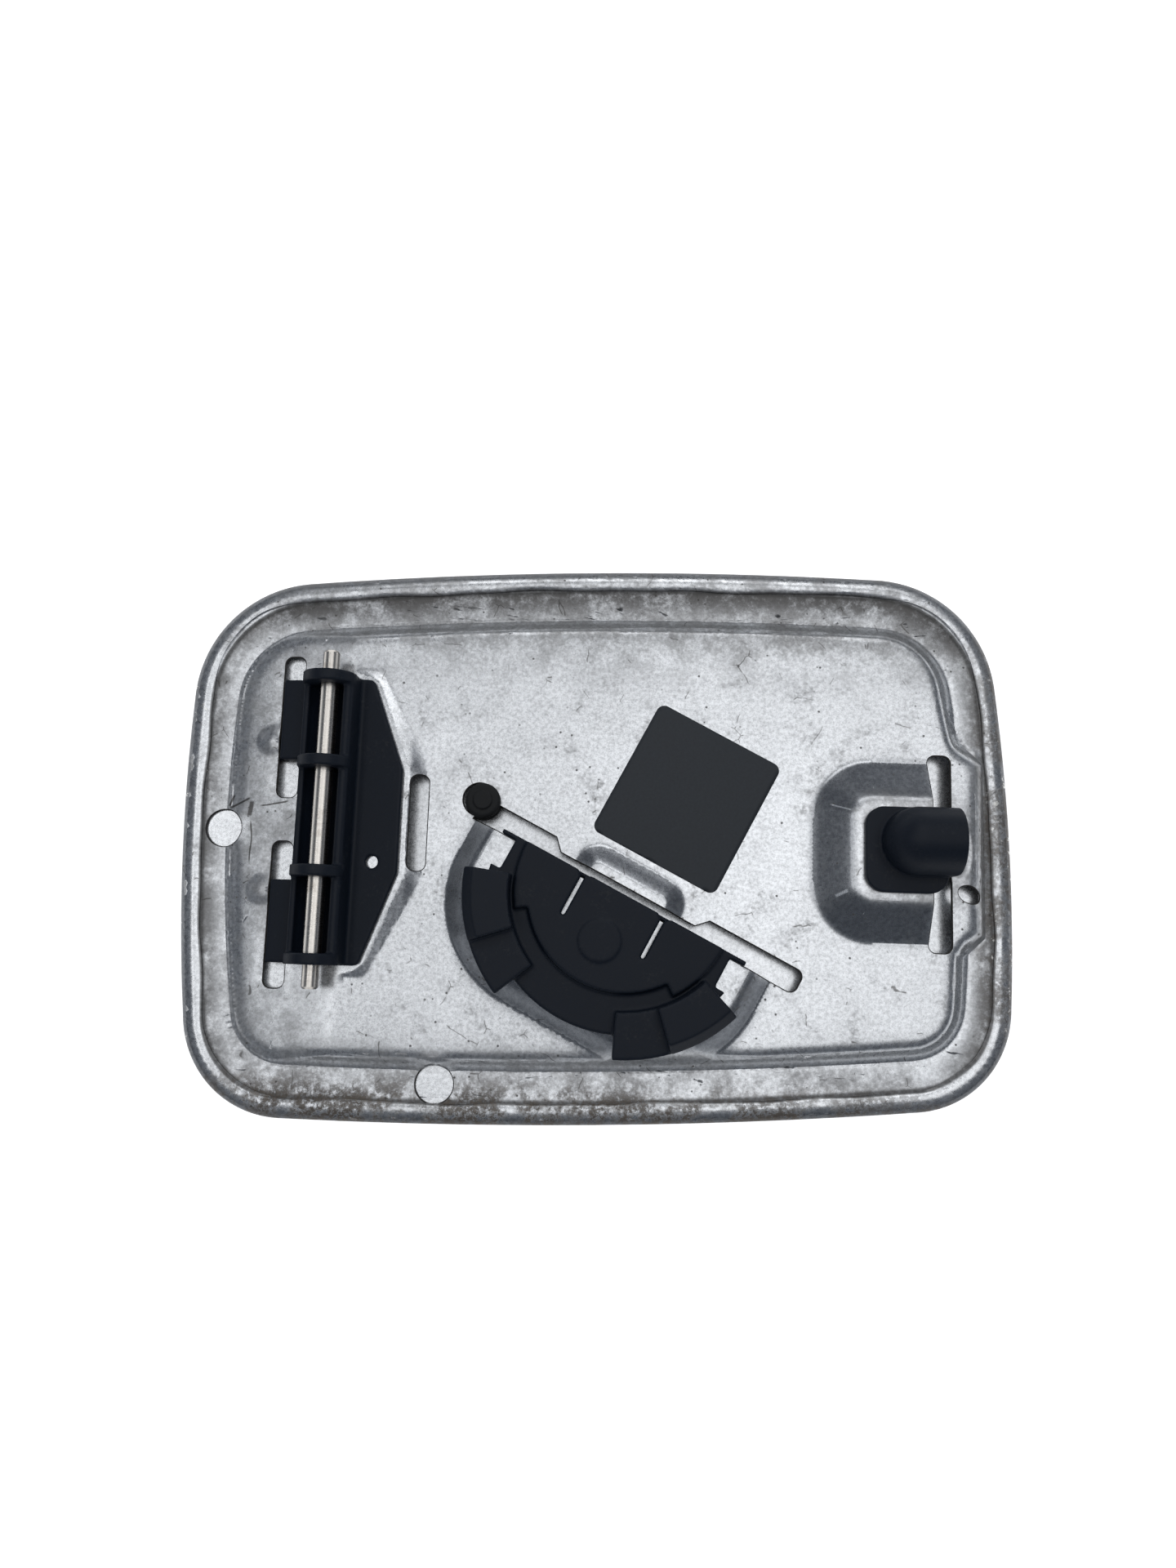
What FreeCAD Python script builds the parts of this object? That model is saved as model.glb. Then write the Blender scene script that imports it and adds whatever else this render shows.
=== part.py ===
"""Fuel filler flap of a car: a hemmed steel skin with its pressed inner panel and plastic fittings.

Millimetres. The flap lies on its curved outer face with its inside up (+Z). X runs along the
flap from the hinge to the latch and Y runs along the hinge pin. The origin is under the middle.
"""
import FreeCAD, Part
import math
import os
import Sketcher

Vector = FreeCAD.Vector
Rotation = FreeCAD.Rotation
ALONG_X = Vector(1, 0, 0)
ALONG_Y = Vector(0, 1, 0)
UP = Vector(0, 0, 1)

DIMENSIONS = {
    # outline of the flap, drawn square to its own edges and turned against the hinge
    "flap_length": 199.4,
    "flap_height": 132.6,
    "outline_turn": 2.35,
    "outline_y": 0.09,
    "top_bow": 1058,
    "bottom_bow": 1272,
    "side_bow": 397,
    "top_corner": 30,
    "bottom_corner": 25,
    # sheet metal and hem
    "sheet_gauge": 0.8,
    "skin_radius": 900,
    "hem_gap": 0.05,
    "hem_roll": 1.1,
    "hem_width": 4.8,
    "hem_corner": 22,
    # plateau of the inner panel and the bead round it
    "plateau_height": 6.2,
    "plateau_inset": 14.9,
    "bead_angle": 45,
    "bead_brow": 2,
    "pad_brow": 4,
    "pad_root": 2,
    "lip_brow": 2,
    "jog_edge": 8.5,
    "jog_y": 0.65,
    "jog_half": 20.1,
    "jog_depth": 5.2,
    "jog_spread": 5.2,
    "jog_ease": 4.8,
    "jog_ease_length": 15.5,
    "jog_root": 21,
    "jog_angle": 25,
    # hinge: the panel folds down beside it, and a wedge carries its wing
    "hinge_edge": 39.7,
    "hinge_y": 2.3,
    "hinge_tilt": 7,
    "wedge_reach": 19,
    "wedge_nose": 13.5,
    "wedge_shoulder": 7,
    "wedge_half": 36.5,
    "wedge_back": 12,
    "wedge_angle": 66,
    "hook_slot_x": -14.7,
    "hook_slot_width": 5,
    "hook_slot_start": 5.3,
    "hook_slot_length": 34.4,
    "wing_slot_x": 17.5,
    "wing_slot_width": 4.1,
    "wing_slot_length": 22.8,
    "slot_corner": 1.8,
    "dimple_x": -19.2,
    "upper_dimple_y": 19,
    "lower_dimple_y": -16.8,
    "dimple_radius": 3.6,
    "dimple_rise": 0.9,
    # latch pad, its slot and the scoop beside it
    "latch_y": -0.8,
    "latch_edge": 21.2,
    "latch_pad_length": 27.7,
    "latch_half": 21.5,
    "latch_corner": 14,
    "latch_rise": 5,
    "latch_angle": 61.5,
    "latch_slot_width": 5.5,
    "latch_slot_length": 46.8,
    "scoop_y": 0.1,
    "scoop_radius": 8.3,
    "scoop_floor": 5.9,
    "scoop_depth": 1.3,
    # place where the filler cap is parked: pad, slot, lip and sticker share one turned frame
    "park_x": 6.7,
    "park_edge": 52.95,
    "park_turn": -26.9,
    "park_half": 39.3,
    "park_depth": 35,
    "park_corner": 26,
    "park_rise": 3.5,
    "park_angle": 55,
    "slot_front": 1,
    "slot_back": 4.5,
    "slot_waist": 1.8,
    "waist_half": 18,
    "waist_ramp": 2.6,
    "slot_left_end": 40,
    "slot_right_end": 45.5,
    "lip_half": 14.2,
    "lip_depth": 8.6,
    "lip_corner": 6,
    "lip_rise": 2.2,
    "lip_angle": 64,
    # holes in the inner panel
    "tool_hole_radius": 4.4,
    "side_hole_edge": 10,
    "side_hole_y": 0,
    "low_hole_x": -35.9,
    "low_hole_edge": 8.1,
    "drain_edge": 11.3,
    "drain_y": -10.3,
    "drain_length": 5.7,
    "drain_width": 3.9,
    "drain_turn": -20,
    # hinge pin and clip
    "pin_x": -3.5,
    "pin_lift": 6.6,
    "pin_radius": 2.15,
    "pin_end_radius": 1.95,
    "pin_length": 79,
    "pin_end_length": 5.4,
    "pin_chamfer": 0.5,
    "running_clearance": 0.05,
    "clip_plate": 1.5,
    "clip_left": -11,
    "clip_shoulder": 5.5,
    "clip_half": 34,
    "wing_reach": 13.7,
    "wing_nose": 12.3,
    "trough_half": 6.1,
    "trough_radius": 4.7,
    "trough_wall_top": 7.2,
    "rail_radius": 1.25,
    "knuckle_radius": 6.3,
    "knuckle_width": 2.6,
    "outer_knuckle": 32.7,
    "inner_knuckle": 12.7,
    "hook_start": 14.4,
    "hook_length": 19.4,
    "hook_thickness": 1.1,
    "hook_grip": 3,
    "hook_left_gap": 0.5,
    "hook_right_gap": 0.2,
    "clip_clearance": 0.1,
    "wing_hole_radius": 1.5,
    "wing_hole_x": 7.5,
    "wing_hole_y": -9.8,
    # latch block
    "block_length": 16.3,
    "block_overhang": 2.9,
    "block_half": 10,
    "block_corner": 4.5,
    "block_plate": 1.9,
    "hood_y": 1.8,
    "hood_radius": 7.8,
    "hood_length": 12.7,
    "hood_overhang": 4.1,
    "tunnel_radius": 4,
    "tunnel_floor": 1.2,
    "tunnel_depth": 9.5,
    "jaw_thickness": 1.8,
    "block_jaw_half": 8,
    "block_jaw_length": 12,
    # cap holder
    "holder_plate": 2,
    "holder_radius": 31.9,
    "edge_half": 31.9,
    "notch_half": 28.2,
    "notch_start": 1.1,
    "notch_end": 8.5,
    "finger_inner": 26.6,
    "finger_outer": 37.2,
    "tall_start": 19,
    "tall_end": 45.5,
    "low_end": 66,
    "tall_height": 8.5,
    "finger_chamfer": 2.2,
    "low_height": 5,
    "disc_height": 1.4,
    "disc_radius": 22.5,
    "disc_shoulder": 25.6,
    "shoulder_end": 36,
    "slit_offset": 10.45,
    "slit_width": 0.9,
    "slit_length": 11,
    "slit_mouth": 1.6,
    "boss_radius": 4.8,
    "boss_height": 0.3,
    "boss_offset": 12,
    "holder_jaw_half": 26,
    "holder_jaw_length": 12,
    # rubber buffer
    "buffer_u": -39.9,
    "buffer_v": 3.6,
    "buffer_hole": 3.9,
    "buffer_hole_shift": 1.1,
    "buffer_head": 4.1,
    "buffer_height": 3.8,
    "buffer_round": 1,
    "buffer_nub": 2.2,
    "buffer_nub_height": 0.6,
    "buffer_bulb": 4.5,
    "buffer_bulb_height": 2.2,
    # sticker
    "label_width": 32.9,
    "label_length": 34.9,
    "label_corner": 2,
    "label_film": 0.15,
    "label_u": 2.1,
    "label_v": 27.7,
}

doc = FreeCAD.newDocument("fuel_filler_flap")
sheet = doc.addObject("Spreadsheet::Sheet", "dims")
for row, (alias, number) in enumerate(DIMENSIONS.items(), 1):
    sheet.set(f"A{row}", alias)
    sheet.set(f"B{row}", str(number))
    sheet.setAlias(f"B{row}", alias)
doc.recompute()

# Working lengths of the solids that trim or cut others; each only has to reach past the flap.
REACH = 400
DEEP = 14
TALL = 40
TINY = 1e-4
ACROSS = (f"-{REACH} / 4", f"{REACH} / 4")

# Ends of the flap, and the fittings that keep their distance from them.
LEFT_END = "(-dims.flap_length / 2)"
RIGHT_END = "(dims.flap_length / 2)"
BOTTOM_END = "(-dims.flap_height / 2)"
FOLD_X = f"({LEFT_END} + dims.hinge_edge)"
LATCH_SLOT_LEFT = f"({RIGHT_END} - dims.latch_edge)"
LATCH_SLOT_MIDDLE = f"({LATCH_SLOT_LEFT} + dims.latch_slot_width / 2)"

HINGE_FRAME = {
    "x": FOLD_X,
    "y": "dims.hinge_y",
    "z": "dims.plateau_height",
    "axis": ALONG_Y,
    "angle": "-dims.hinge_tilt",
}
PARK_Y = f"({BOTTOM_END} + dims.park_edge)"
PARK_FRAME = {"x": "dims.park_x", "y": PARK_Y, "axis": UP, "angle": "dims.park_turn"}
OUTLINE_FRAME = {"y": "dims.outline_y", "axis": UP, "angle": "dims.outline_turn"}

PAD_TOP = {
    "latch": "(dims.plateau_height + dims.latch_rise)",
    "park": "(dims.plateau_height + dims.park_rise)",
}
HEM_HEIGHT = "(3 * dims.sheet_gauge + 2 * dims.hem_gap)"
FLANGE_TOP = "(2 * dims.sheet_gauge + dims.hem_gap)"


def value(expression):
    """The number that an expression over the sheet gives now."""
    return float(sheet.evalExpression(str(expression)))


def place(thing, frame=None, x="0", y="0", z="0"):
    """Tie a Placement to the sheet: a frame's turn and origin, plus a shift in plain axes."""
    frame = frame or {}
    axis = frame.get("axis", UP)
    thing.Placement = FreeCAD.Placement(Vector(), Rotation(axis, 1))
    thing.setExpression("Placement.Rotation.Angle", frame.get("angle", "0"))
    for name, shift in (("x", x), ("y", y), ("z", z)):
        thing.setExpression(f"Placement.Base.{name}", f"{frame.get(name, '0')} + {shift}")
    return thing


def bind(sketch, kind, expression, *where):
    """Add one driving constraint to a sketch and tie it to the sheet."""
    number = value(expression)
    if kind == "Angle":
        index = sketch.addConstraint(Sketcher.Constraint(kind, *where, math.radians(number)))
        sketch.setExpression(f"Constraints[{index}]", f"({expression}) * 1 deg")
        return
    index = sketch.addConstraint(Sketcher.Constraint(kind, *where, number))
    sketch.setExpression(f"Constraints[{index}]", str(expression))


def new_sketch(name, owner=None):
    """An empty sketch, in a body if one is given."""
    if owner:
        return owner.newObject("Sketcher::SketchObject", name)
    return doc.addObject("Sketcher::SketchObject", name)


def draw_polygon(sketch, corners):
    """A closed outline through corners of (x, y, radius), all expressions; radius None is sharp."""
    count = len(corners)
    spots = [Vector(value(x), value(y), 0) for x, y, _ in corners]
    trims = []
    for i, (_, _, radius) in enumerate(corners):
        before = (spots[i - 1] - spots[i]).normalize()
        after = (spots[(i + 1) % count] - spots[i]).normalize()
        half = before.getAngle(after) / 2
        reach = value(radius) / math.tan(half) if radius else 0
        trims.append((spots[i] + before * reach, spots[i] + after * reach, before, after, half))
    sides = []
    for i in range(count):
        line = Part.LineSegment(trims[i][1], trims[(i + 1) % count][0])
        sides.append(sketch.addGeometry(line, False))
    for i, (x, y, radius) in enumerate(corners):
        if not radius:
            sketch.addConstraint(Sketcher.Constraint("Coincident", sides[i - 1], 2, sides[i], 1))
            bind(sketch, "DistanceX", x, -1, 1, sides[i], 1)
            bind(sketch, "DistanceY", y, -1, 1, sides[i], 1)
            continue
        start, end, before, after, half = trims[i]
        centre = spots[i] + (before + after).normalize() * (value(radius) / math.sin(half))
        middle = centre + (spots[i] - centre).normalize() * value(radius)
        arc = sketch.addGeometry(Part.Arc(start, middle, end), False)
        # an arc runs counterclockwise, so its ends may meet the sides the other way round
        first = 1 if sketch.getPoint(arc, 1).distanceToPoint(start) < 1e-6 else 2
        sketch.addConstraint(Sketcher.Constraint("Tangent", sides[i - 1], 2, arc, first))
        sketch.addConstraint(Sketcher.Constraint("Tangent", sides[i], 1, arc, 3 - first))
        bind(sketch, "Radius", radius, arc)
        tip = sketch.addGeometry(Part.Point(spots[i]), True)
        sketch.addConstraint(Sketcher.Constraint("PointOnObject", tip, 1, sides[i - 1]))
        sketch.addConstraint(Sketcher.Constraint("PointOnObject", tip, 1, sides[i]))
        bind(sketch, "DistanceX", x, -1, 1, tip, 1)
        bind(sketch, "DistanceY", y, -1, 1, tip, 1)
    return sketch


def draw_block(sketch, left, right, bottom, top, radius=None):
    """An upright rectangle with equal corners."""
    corners = [(left, bottom), (right, bottom), (right, top), (left, top)]
    return draw_polygon(sketch, [(x, y, radius) for x, y in corners])


def draw_sector(sketch, inner, outer, start, end):
    """A piece of a ring about the sketch's origin between two angles."""
    radii = (value(inner), value(outer))
    angles = (math.radians(value(start)), math.radians(value(end)))
    circles = [Part.Circle(Vector(), UP, radius) for radius in radii]
    arcs = [sketch.addGeometry(Part.ArcOfCircle(circle, *angles), False) for circle in circles]
    for arc, radius in zip(arcs, (inner, outer)):
        sketch.addConstraint(Sketcher.Constraint("Coincident", arc, 3, -1, 1))
        bind(sketch, "Radius", radius, arc)
    for angle, expression, end_point in zip(angles, (start, end), (1, 2)):
        way = Vector(math.cos(angle), math.sin(angle), 0)
        line = sketch.addGeometry(Part.LineSegment(way * radii[0], way * radii[1]), False)
        sketch.addConstraint(Sketcher.Constraint("Coincident", line, 1, arcs[0], end_point))
        sketch.addConstraint(Sketcher.Constraint("Coincident", line, 2, arcs[1], end_point))
        bind(sketch, "Angle", expression, line)
    return sketch


def draw_bowed(sketch, inset, top_corner, bottom_corner):
    """The flap's outline moved inwards: four bowed sides joined by four tangent corners."""
    half_length, half_height = "dims.flap_length / 2", "dims.flap_height / 2"
    sides = [
        ("0", f"{half_height} - dims.top_bow", "dims.top_bow"),
        (f"dims.side_bow - {half_length}", "0", "dims.side_bow"),
        ("0", f"dims.bottom_bow - {half_height}", "dims.bottom_bow"),
        (f"{half_length} - dims.side_bow", "0", "dims.side_bow"),
    ]
    bows = [(Vector(value(x), value(y), 0), value(f"{r} - {inset}")) for x, y, r in sides]
    radii = [top_corner, bottom_corner, bottom_corner, top_corner]
    quadrants = [Vector(-1, 1, 0), Vector(-1, -1, 0), Vector(1, -1, 0), Vector(1, 1, 0)]
    hubs = []
    for i, quadrant in enumerate(quadrants):
        (a, a_radius), (b, b_radius) = bows[i], bows[(i + 1) % 4]
        r = value(radii[i])
        rings = [Part.Circle(a, UP, a_radius - r), Part.Circle(b, UP, b_radius - r)]
        meets = [Vector(p.X, p.Y, 0) for p in rings[0].intersect(rings[1])]
        hubs.append(max(meets, key=quadrant.dot))

    def touch(hub, bow, r):
        return hub + (hub - bow).normalize() * r

    # sides and corners alternate, all counterclockwise
    long_arcs, short_arcs = [], []
    for i, (centre, radius) in enumerate(bows):
        start = touch(hubs[i - 1], centre, value(radii[i - 1]))
        end = touch(hubs[i], centre, value(radii[i]))
        middle = centre + ((start + end) * 0.5 - centre).normalize() * radius
        long_arcs.append(sketch.addGeometry(Part.Arc(start, middle, end), False))
    for i, hub in enumerate(hubs):
        r = value(radii[i])
        start = touch(hub, bows[i][0], r)
        end = touch(hub, bows[(i + 1) % 4][0], r)
        middle = hub + ((start + end) * 0.5 - hub).normalize() * r
        short_arcs.append(sketch.addGeometry(Part.Arc(start, middle, end), False))
    for i, (x, y, radius) in enumerate(sides):
        after = long_arcs[(i + 1) % 4]
        sketch.addConstraint(Sketcher.Constraint("Tangent", long_arcs[i], 2, short_arcs[i], 1))
        sketch.addConstraint(Sketcher.Constraint("Tangent", short_arcs[i], 2, after, 1))
        bind(sketch, "DistanceX", x, -1, 1, long_arcs[i], 3)
        bind(sketch, "DistanceY", y, -1, 1, long_arcs[i], 3)
        bind(sketch, "Radius", f"{radius} - {inset}", long_arcs[i])
        bind(sketch, "Radius", radii[i], short_arcs[i])
    return sketch


def extrude(name, sketch, length, direction=UP, widen="0"):
    """A solid swept straight from a sketch, its walls leaning outwards by an angle."""
    solid = doc.addObject("Part::Extrusion", name)
    solid.Base = sketch
    solid.DirMode = "Custom"
    solid.Dir = direction
    solid.Solid = True
    solid.setExpression("LengthFwd", str(length))
    solid.setExpression("TaperAngle", str(widen))
    return solid


def box(name, x, y, z, frame=None):
    """A block between pairs of expressions, in a frame's own axes."""
    sketch = draw_block(new_sketch(f"{name}_sketch"), x[0], x[1], y[0], y[1])
    place(sketch, z=z[0])
    solid = extrude(name, sketch, f"({z[1]}) - ({z[0]})")
    return place(solid, frame) if frame else solid


def rod(name, radius, length, axis, x="0", y="0", z="0"):
    """A cylinder along X, Y or Z from the point given."""
    solid = doc.addObject("Part::Cylinder", name)
    solid.setExpression("Radius", radius)
    solid.setExpression("Height", str(length))
    turn = Rotation(UP, axis)
    solid.Placement = FreeCAD.Placement(Vector(), turn)
    for side, shift in (("x", x), ("y", y), ("z", z)):
        solid.setExpression(f"Placement.Base.{side}", str(shift))
    return solid


def join(name, *pieces):
    solid = doc.addObject("Part::MultiFuse", name)
    solid.Shapes = list(pieces)
    return solid


def cut(name, base, tool):
    solid = doc.addObject("Part::Cut", name)
    solid.Base = base
    solid.Tool = tool
    return solid


def common(name, *pieces):
    solid = doc.addObject("Part::MultiCommon", name)
    solid.Shapes = list(pieces)
    return solid


def carry(name, piece, frame=None, **shift):
    """A piece as it is, moved into a frame."""
    solid = doc.addObject("Part::Compound", name)
    solid.Links = [piece]
    return place(solid, frame, **shift)


def bowed_prism(name, inset, top_corner, bottom_corner):
    """An upright prism on the flap's outline moved inwards."""
    sketch = draw_bowed(new_sketch(f"{name}_sketch"), inset, top_corner, bottom_corner)
    place(sketch, OUTLINE_FRAME, z=f"-{DEEP}")
    return extrude(name, sketch, TALL)


def concentric_prism(name, inset):
    """An upright prism whose corners shrink with the inset, as an even sheet edge does."""
    return bowed_prism(name, inset, f"dims.top_corner - {inset}", f"dims.bottom_corner - {inset}")


def bend(name, depth):
    """The round solid whose lowest line lies at a depth above the outer face."""
    radius = f"dims.skin_radius - ({depth})"
    return rod(name, radius, REACH, ALONG_X, f"-{REACH} / 2", "0", "dims.skin_radius")


def round_top(name, form, height, radius):
    """Round the edges of a form that lie at its top."""
    doc.recompute()
    level, r = value(height), value(radius)
    solid = doc.addObject("Part::Fillet", name)
    solid.Base = form
    solid.Edges = [
        (index, r, r)
        for index, edge in enumerate(form.Shape.Edges, 1)
        if all(abs(vertex.Z - level) < TINY for vertex in edge.Vertexes)
    ]
    return solid


def pressed_pad(name, sketch, rise, angle, frame, radius=None):
    """A raised pad with sloping walls and a rounded brow, standing on the plateau."""
    place(sketch, frame, z="dims.plateau_height")
    pad = extrude(name, sketch, rise, widen=f"-{angle}")
    pad.setExpression("LengthRev", "dims.pad_root")
    pad.setExpression("TaperAngleRev", angle)
    if not radius:
        return pad
    return round_top(f"{name}_rounded", pad, f"dims.plateau_height + {rise}", radius)


# Outer skin: a curved sheet rolled over at its edge and folded flat on the inner panel.
def make_outer_skin():
    above_face = common("skin_blank", concentric_prism("skin_edge", "0"), bend("outer_face", "0"))
    slab = cut("skin_slab", above_face, bend("hem_face", HEM_HEIGHT))
    doc.recompute()
    rolled = doc.addObject("Part::Fillet", "skin_rolled")
    rolled.Base = slab
    radius = value("dims.hem_roll")
    rims = []
    for index, edge in enumerate(slab.Shape.Edges, 1):
        upright = edge.Length < 2 * value(HEM_HEIGHT)
        if not upright:
            rims.append((index, radius, radius))
    rolled.Edges = rims
    gauge = "dims.sheet_gauge"
    hollow = common("fold_blank", concentric_prism("fold_edge", gauge), bend("skin_inside", gauge))
    fold = cut("fold_hollow", hollow, bend("fold_face", f"{HEM_HEIGHT} - {gauge}"))
    window_edge = bowed_prism("window_edge", "dims.hem_width", "dims.hem_corner", "dims.hem_corner")
    window = common("hem_window", window_edge, bend("window_floor", gauge))
    return cut("outer_skin", rolled, join("skin_hollow", fold, window))


def draw_plateau(name):
    """The plateau's outline, at its height."""
    inset = "dims.plateau_inset"
    corners = (f"dims.top_corner - {inset}", f"dims.bottom_corner - {inset}")
    sketch = draw_bowed(new_sketch(name), inset, *corners)
    return place(sketch, OUTLINE_FRAME, z="dims.plateau_height")


def bead_walls(name, sketch, angle):
    """An outline at the plateau's height let down to the outer face with its walls spreading."""
    form = extrude(name, sketch, "dims.plateau_height", UP * -1, angle)
    return round_top(f"{name}_rounded", form, "dims.plateau_height", "dims.bead_brow")


# Inner panel: everything under its top surface, less the same shape one sheet lower.
def make_panel_form():
    edge_inset = "(dims.sheet_gauge + dims.hem_gap)"
    edge = concentric_prism("flange_edge", edge_inset)
    flange = cut("flange_form", edge, bend("flange_face", FLANGE_TOP))
    plateau_sketch = draw_plateau("plateau_sketch")
    plateau = bead_walls("plateau_form", plateau_sketch, "dims.bead_angle")
    jog_right = f"({RIGHT_END} - dims.jog_edge)"
    jog_left = f"{jog_right} - dims.jog_root"
    jog_bend = f"{jog_right} - dims.jog_depth"
    jog_top = "dims.jog_half + dims.jog_spread"
    jog_sketch = draw_polygon(
        new_sketch("jog_sketch"),
        [
            (jog_left, f"-({jog_top})", None),
            (jog_bend, f"-({jog_top})", None),
            (jog_right, "-dims.jog_half", None),
            (jog_right, "dims.jog_half", None),
            (jog_bend, jog_top, None),
            (f"{jog_bend} - dims.jog_ease", f"{jog_top} + dims.jog_ease_length", None),
            (jog_left, f"{jog_top} + dims.jog_ease_length", None),
        ],
    )
    place(jog_sketch, y="dims.jog_y", z="dims.plateau_height")
    jog = common("jog_inside", bead_walls("jog_form", jog_sketch, "dims.jog_angle"), edge)
    wedge_sketch = draw_polygon(
        new_sketch("wedge_sketch"),
        [
            ("-dims.wedge_back", "-dims.wedge_half", None),
            ("dims.wedge_shoulder", "-dims.wedge_half", "dims.slot_corner"),
            ("dims.wedge_reach", "-dims.wedge_nose", "dims.slot_corner"),
            ("dims.wedge_reach", "dims.wedge_nose", "dims.slot_corner"),
            ("dims.wedge_shoulder", "dims.wedge_half", "dims.slot_corner"),
            ("-dims.wedge_back", "dims.wedge_half", None),
        ],
    )
    wedge_spot = {"x": FOLD_X, "y": "dims.hinge_y"}
    wedge_rise = "dims.wedge_reach * tan(dims.hinge_tilt)"
    wedge = pressed_pad("wedge_form", wedge_sketch, wedge_rise, "dims.wedge_angle", wedge_spot)
    above_hinge = box(
        "above_hinge", (f"-{REACH} / 4", "dims.wedge_reach"), ACROSS, ("0", TALL), HINGE_FRAME
    )
    ground = cut("folded_plateau", join("plateau_and_wedge", plateau, wedge), above_hinge)
    pieces = [flange, ground, jog, make_latch_pad(), *make_park_pads(), *make_dimples()]
    return cut("panel_form", join("panel_union", *pieces), make_scoop())


def make_latch_pad():
    foot = f"({LATCH_SLOT_LEFT} - dims.latch_pad_length)"
    far = f"({LATCH_SLOT_LEFT} + dims.latch_slot_width + dims.latch_half)"
    top, bottom = "dims.latch_half", "-dims.latch_half"
    corners = [
        (foot, bottom, "dims.latch_corner"),
        (far, bottom, None),
        (far, top, None),
        (foot, top, "dims.latch_corner"),
    ]
    sketch = draw_polygon(new_sketch("latch_pad_sketch"), corners)
    spot = {"y": "dims.latch_y"}
    pad = pressed_pad("latch_frustum", sketch, "dims.latch_rise", "dims.latch_angle", spot, "dims.pad_brow")
    beyond = box("beyond_latch", (LATCH_SLOT_MIDDLE, f"{REACH} / 2"), ACROSS, ("0", TALL))
    return cut("latch_pad_form", pad, beyond)


def make_park_pads():
    half, corner = "dims.park_half", "dims.park_corner"
    park_sketch = draw_polygon(
        new_sketch("park_sketch"),
        [
            (f"-{half}", "dims.park_depth", None),
            (f"-{half}", "-dims.park_depth", corner),
            (half, "-dims.park_depth", corner),
            (half, "dims.park_depth", None),
        ],
    )
    rise, angle = "dims.park_rise", "dims.park_angle"
    park = pressed_pad("park_frustum", park_sketch, rise, angle, PARK_FRAME, "dims.pad_brow")
    lip_sketch = draw_polygon(
        new_sketch("lip_sketch"),
        [
            ("dims.lip_half", "-dims.lip_depth", None),
            ("dims.lip_half", "dims.lip_depth", "dims.lip_corner"),
            ("-dims.lip_half", "dims.lip_depth", "dims.lip_corner"),
            ("-dims.lip_half", "-dims.lip_depth", None),
        ],
    )
    rise, angle = "dims.lip_rise", "dims.lip_angle"
    lip = pressed_pad("lip_frustum", lip_sketch, rise, angle, PARK_FRAME, "dims.lip_brow")
    slot_line = "(dims.slot_waist - dims.slot_front) / 2"
    behind = box("behind_slot", ACROSS, (slot_line, f"{REACH} / 4"), ("0", TALL), PARK_FRAME)
    before = box("before_slot", ACROSS, (f"-{REACH} / 4", slot_line), ("0", TALL), PARK_FRAME)
    # the bead's wall runs on up past the plateau and stops the pad there
    bead_limit = extrude("bead_limit", draw_plateau("bead_limit_sketch"), "dims.park_rise + dims.pad_root")
    bead_limit.setExpression("TaperAngle", "-dims.bead_angle")
    bead_limit.setExpression("LengthRev", "dims.plateau_height")
    bead_limit.setExpression("TaperAngleRev", "dims.bead_angle")
    park_pad = cut("park_pad_form", common("park_inside", park, bead_limit), behind)
    return park_pad, cut("lip_form", lip, before)


def make_dimples():
    ball_radius = "(dims.dimple_radius ^ 2 + dims.dimple_rise ^ 2) / (2 * dims.dimple_rise)"
    dimples = []
    for name in ("upper_dimple", "lower_dimple"):
        ball = doc.addObject("Part::Sphere", f"{name}_ball")
        ball.setExpression("Radius", ball_radius)
        place(ball, x="dims.dimple_x", y=f"dims.{name}_y", z=f"dims.dimple_rise - {ball_radius}")
        dimples.append(carry(name, ball, HINGE_FRAME))
    return dimples


def make_scoop():
    cone = doc.addObject("Part::Cone", "scoop_cone")
    cone.setExpression("Radius1", "dims.scoop_floor")
    cone.setExpression("Radius2", "dims.scoop_radius")
    cone.setExpression("Height", "dims.scoop_depth")
    place(cone, x=LATCH_SLOT_MIDDLE, y="dims.scoop_y", z="dims.plateau_height - dims.scoop_depth")
    side = box("scoop_side", (LATCH_SLOT_MIDDLE, f"{REACH} / 2"), ACROSS, ("0", TALL))
    return common("scoop", cone, side)


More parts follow.
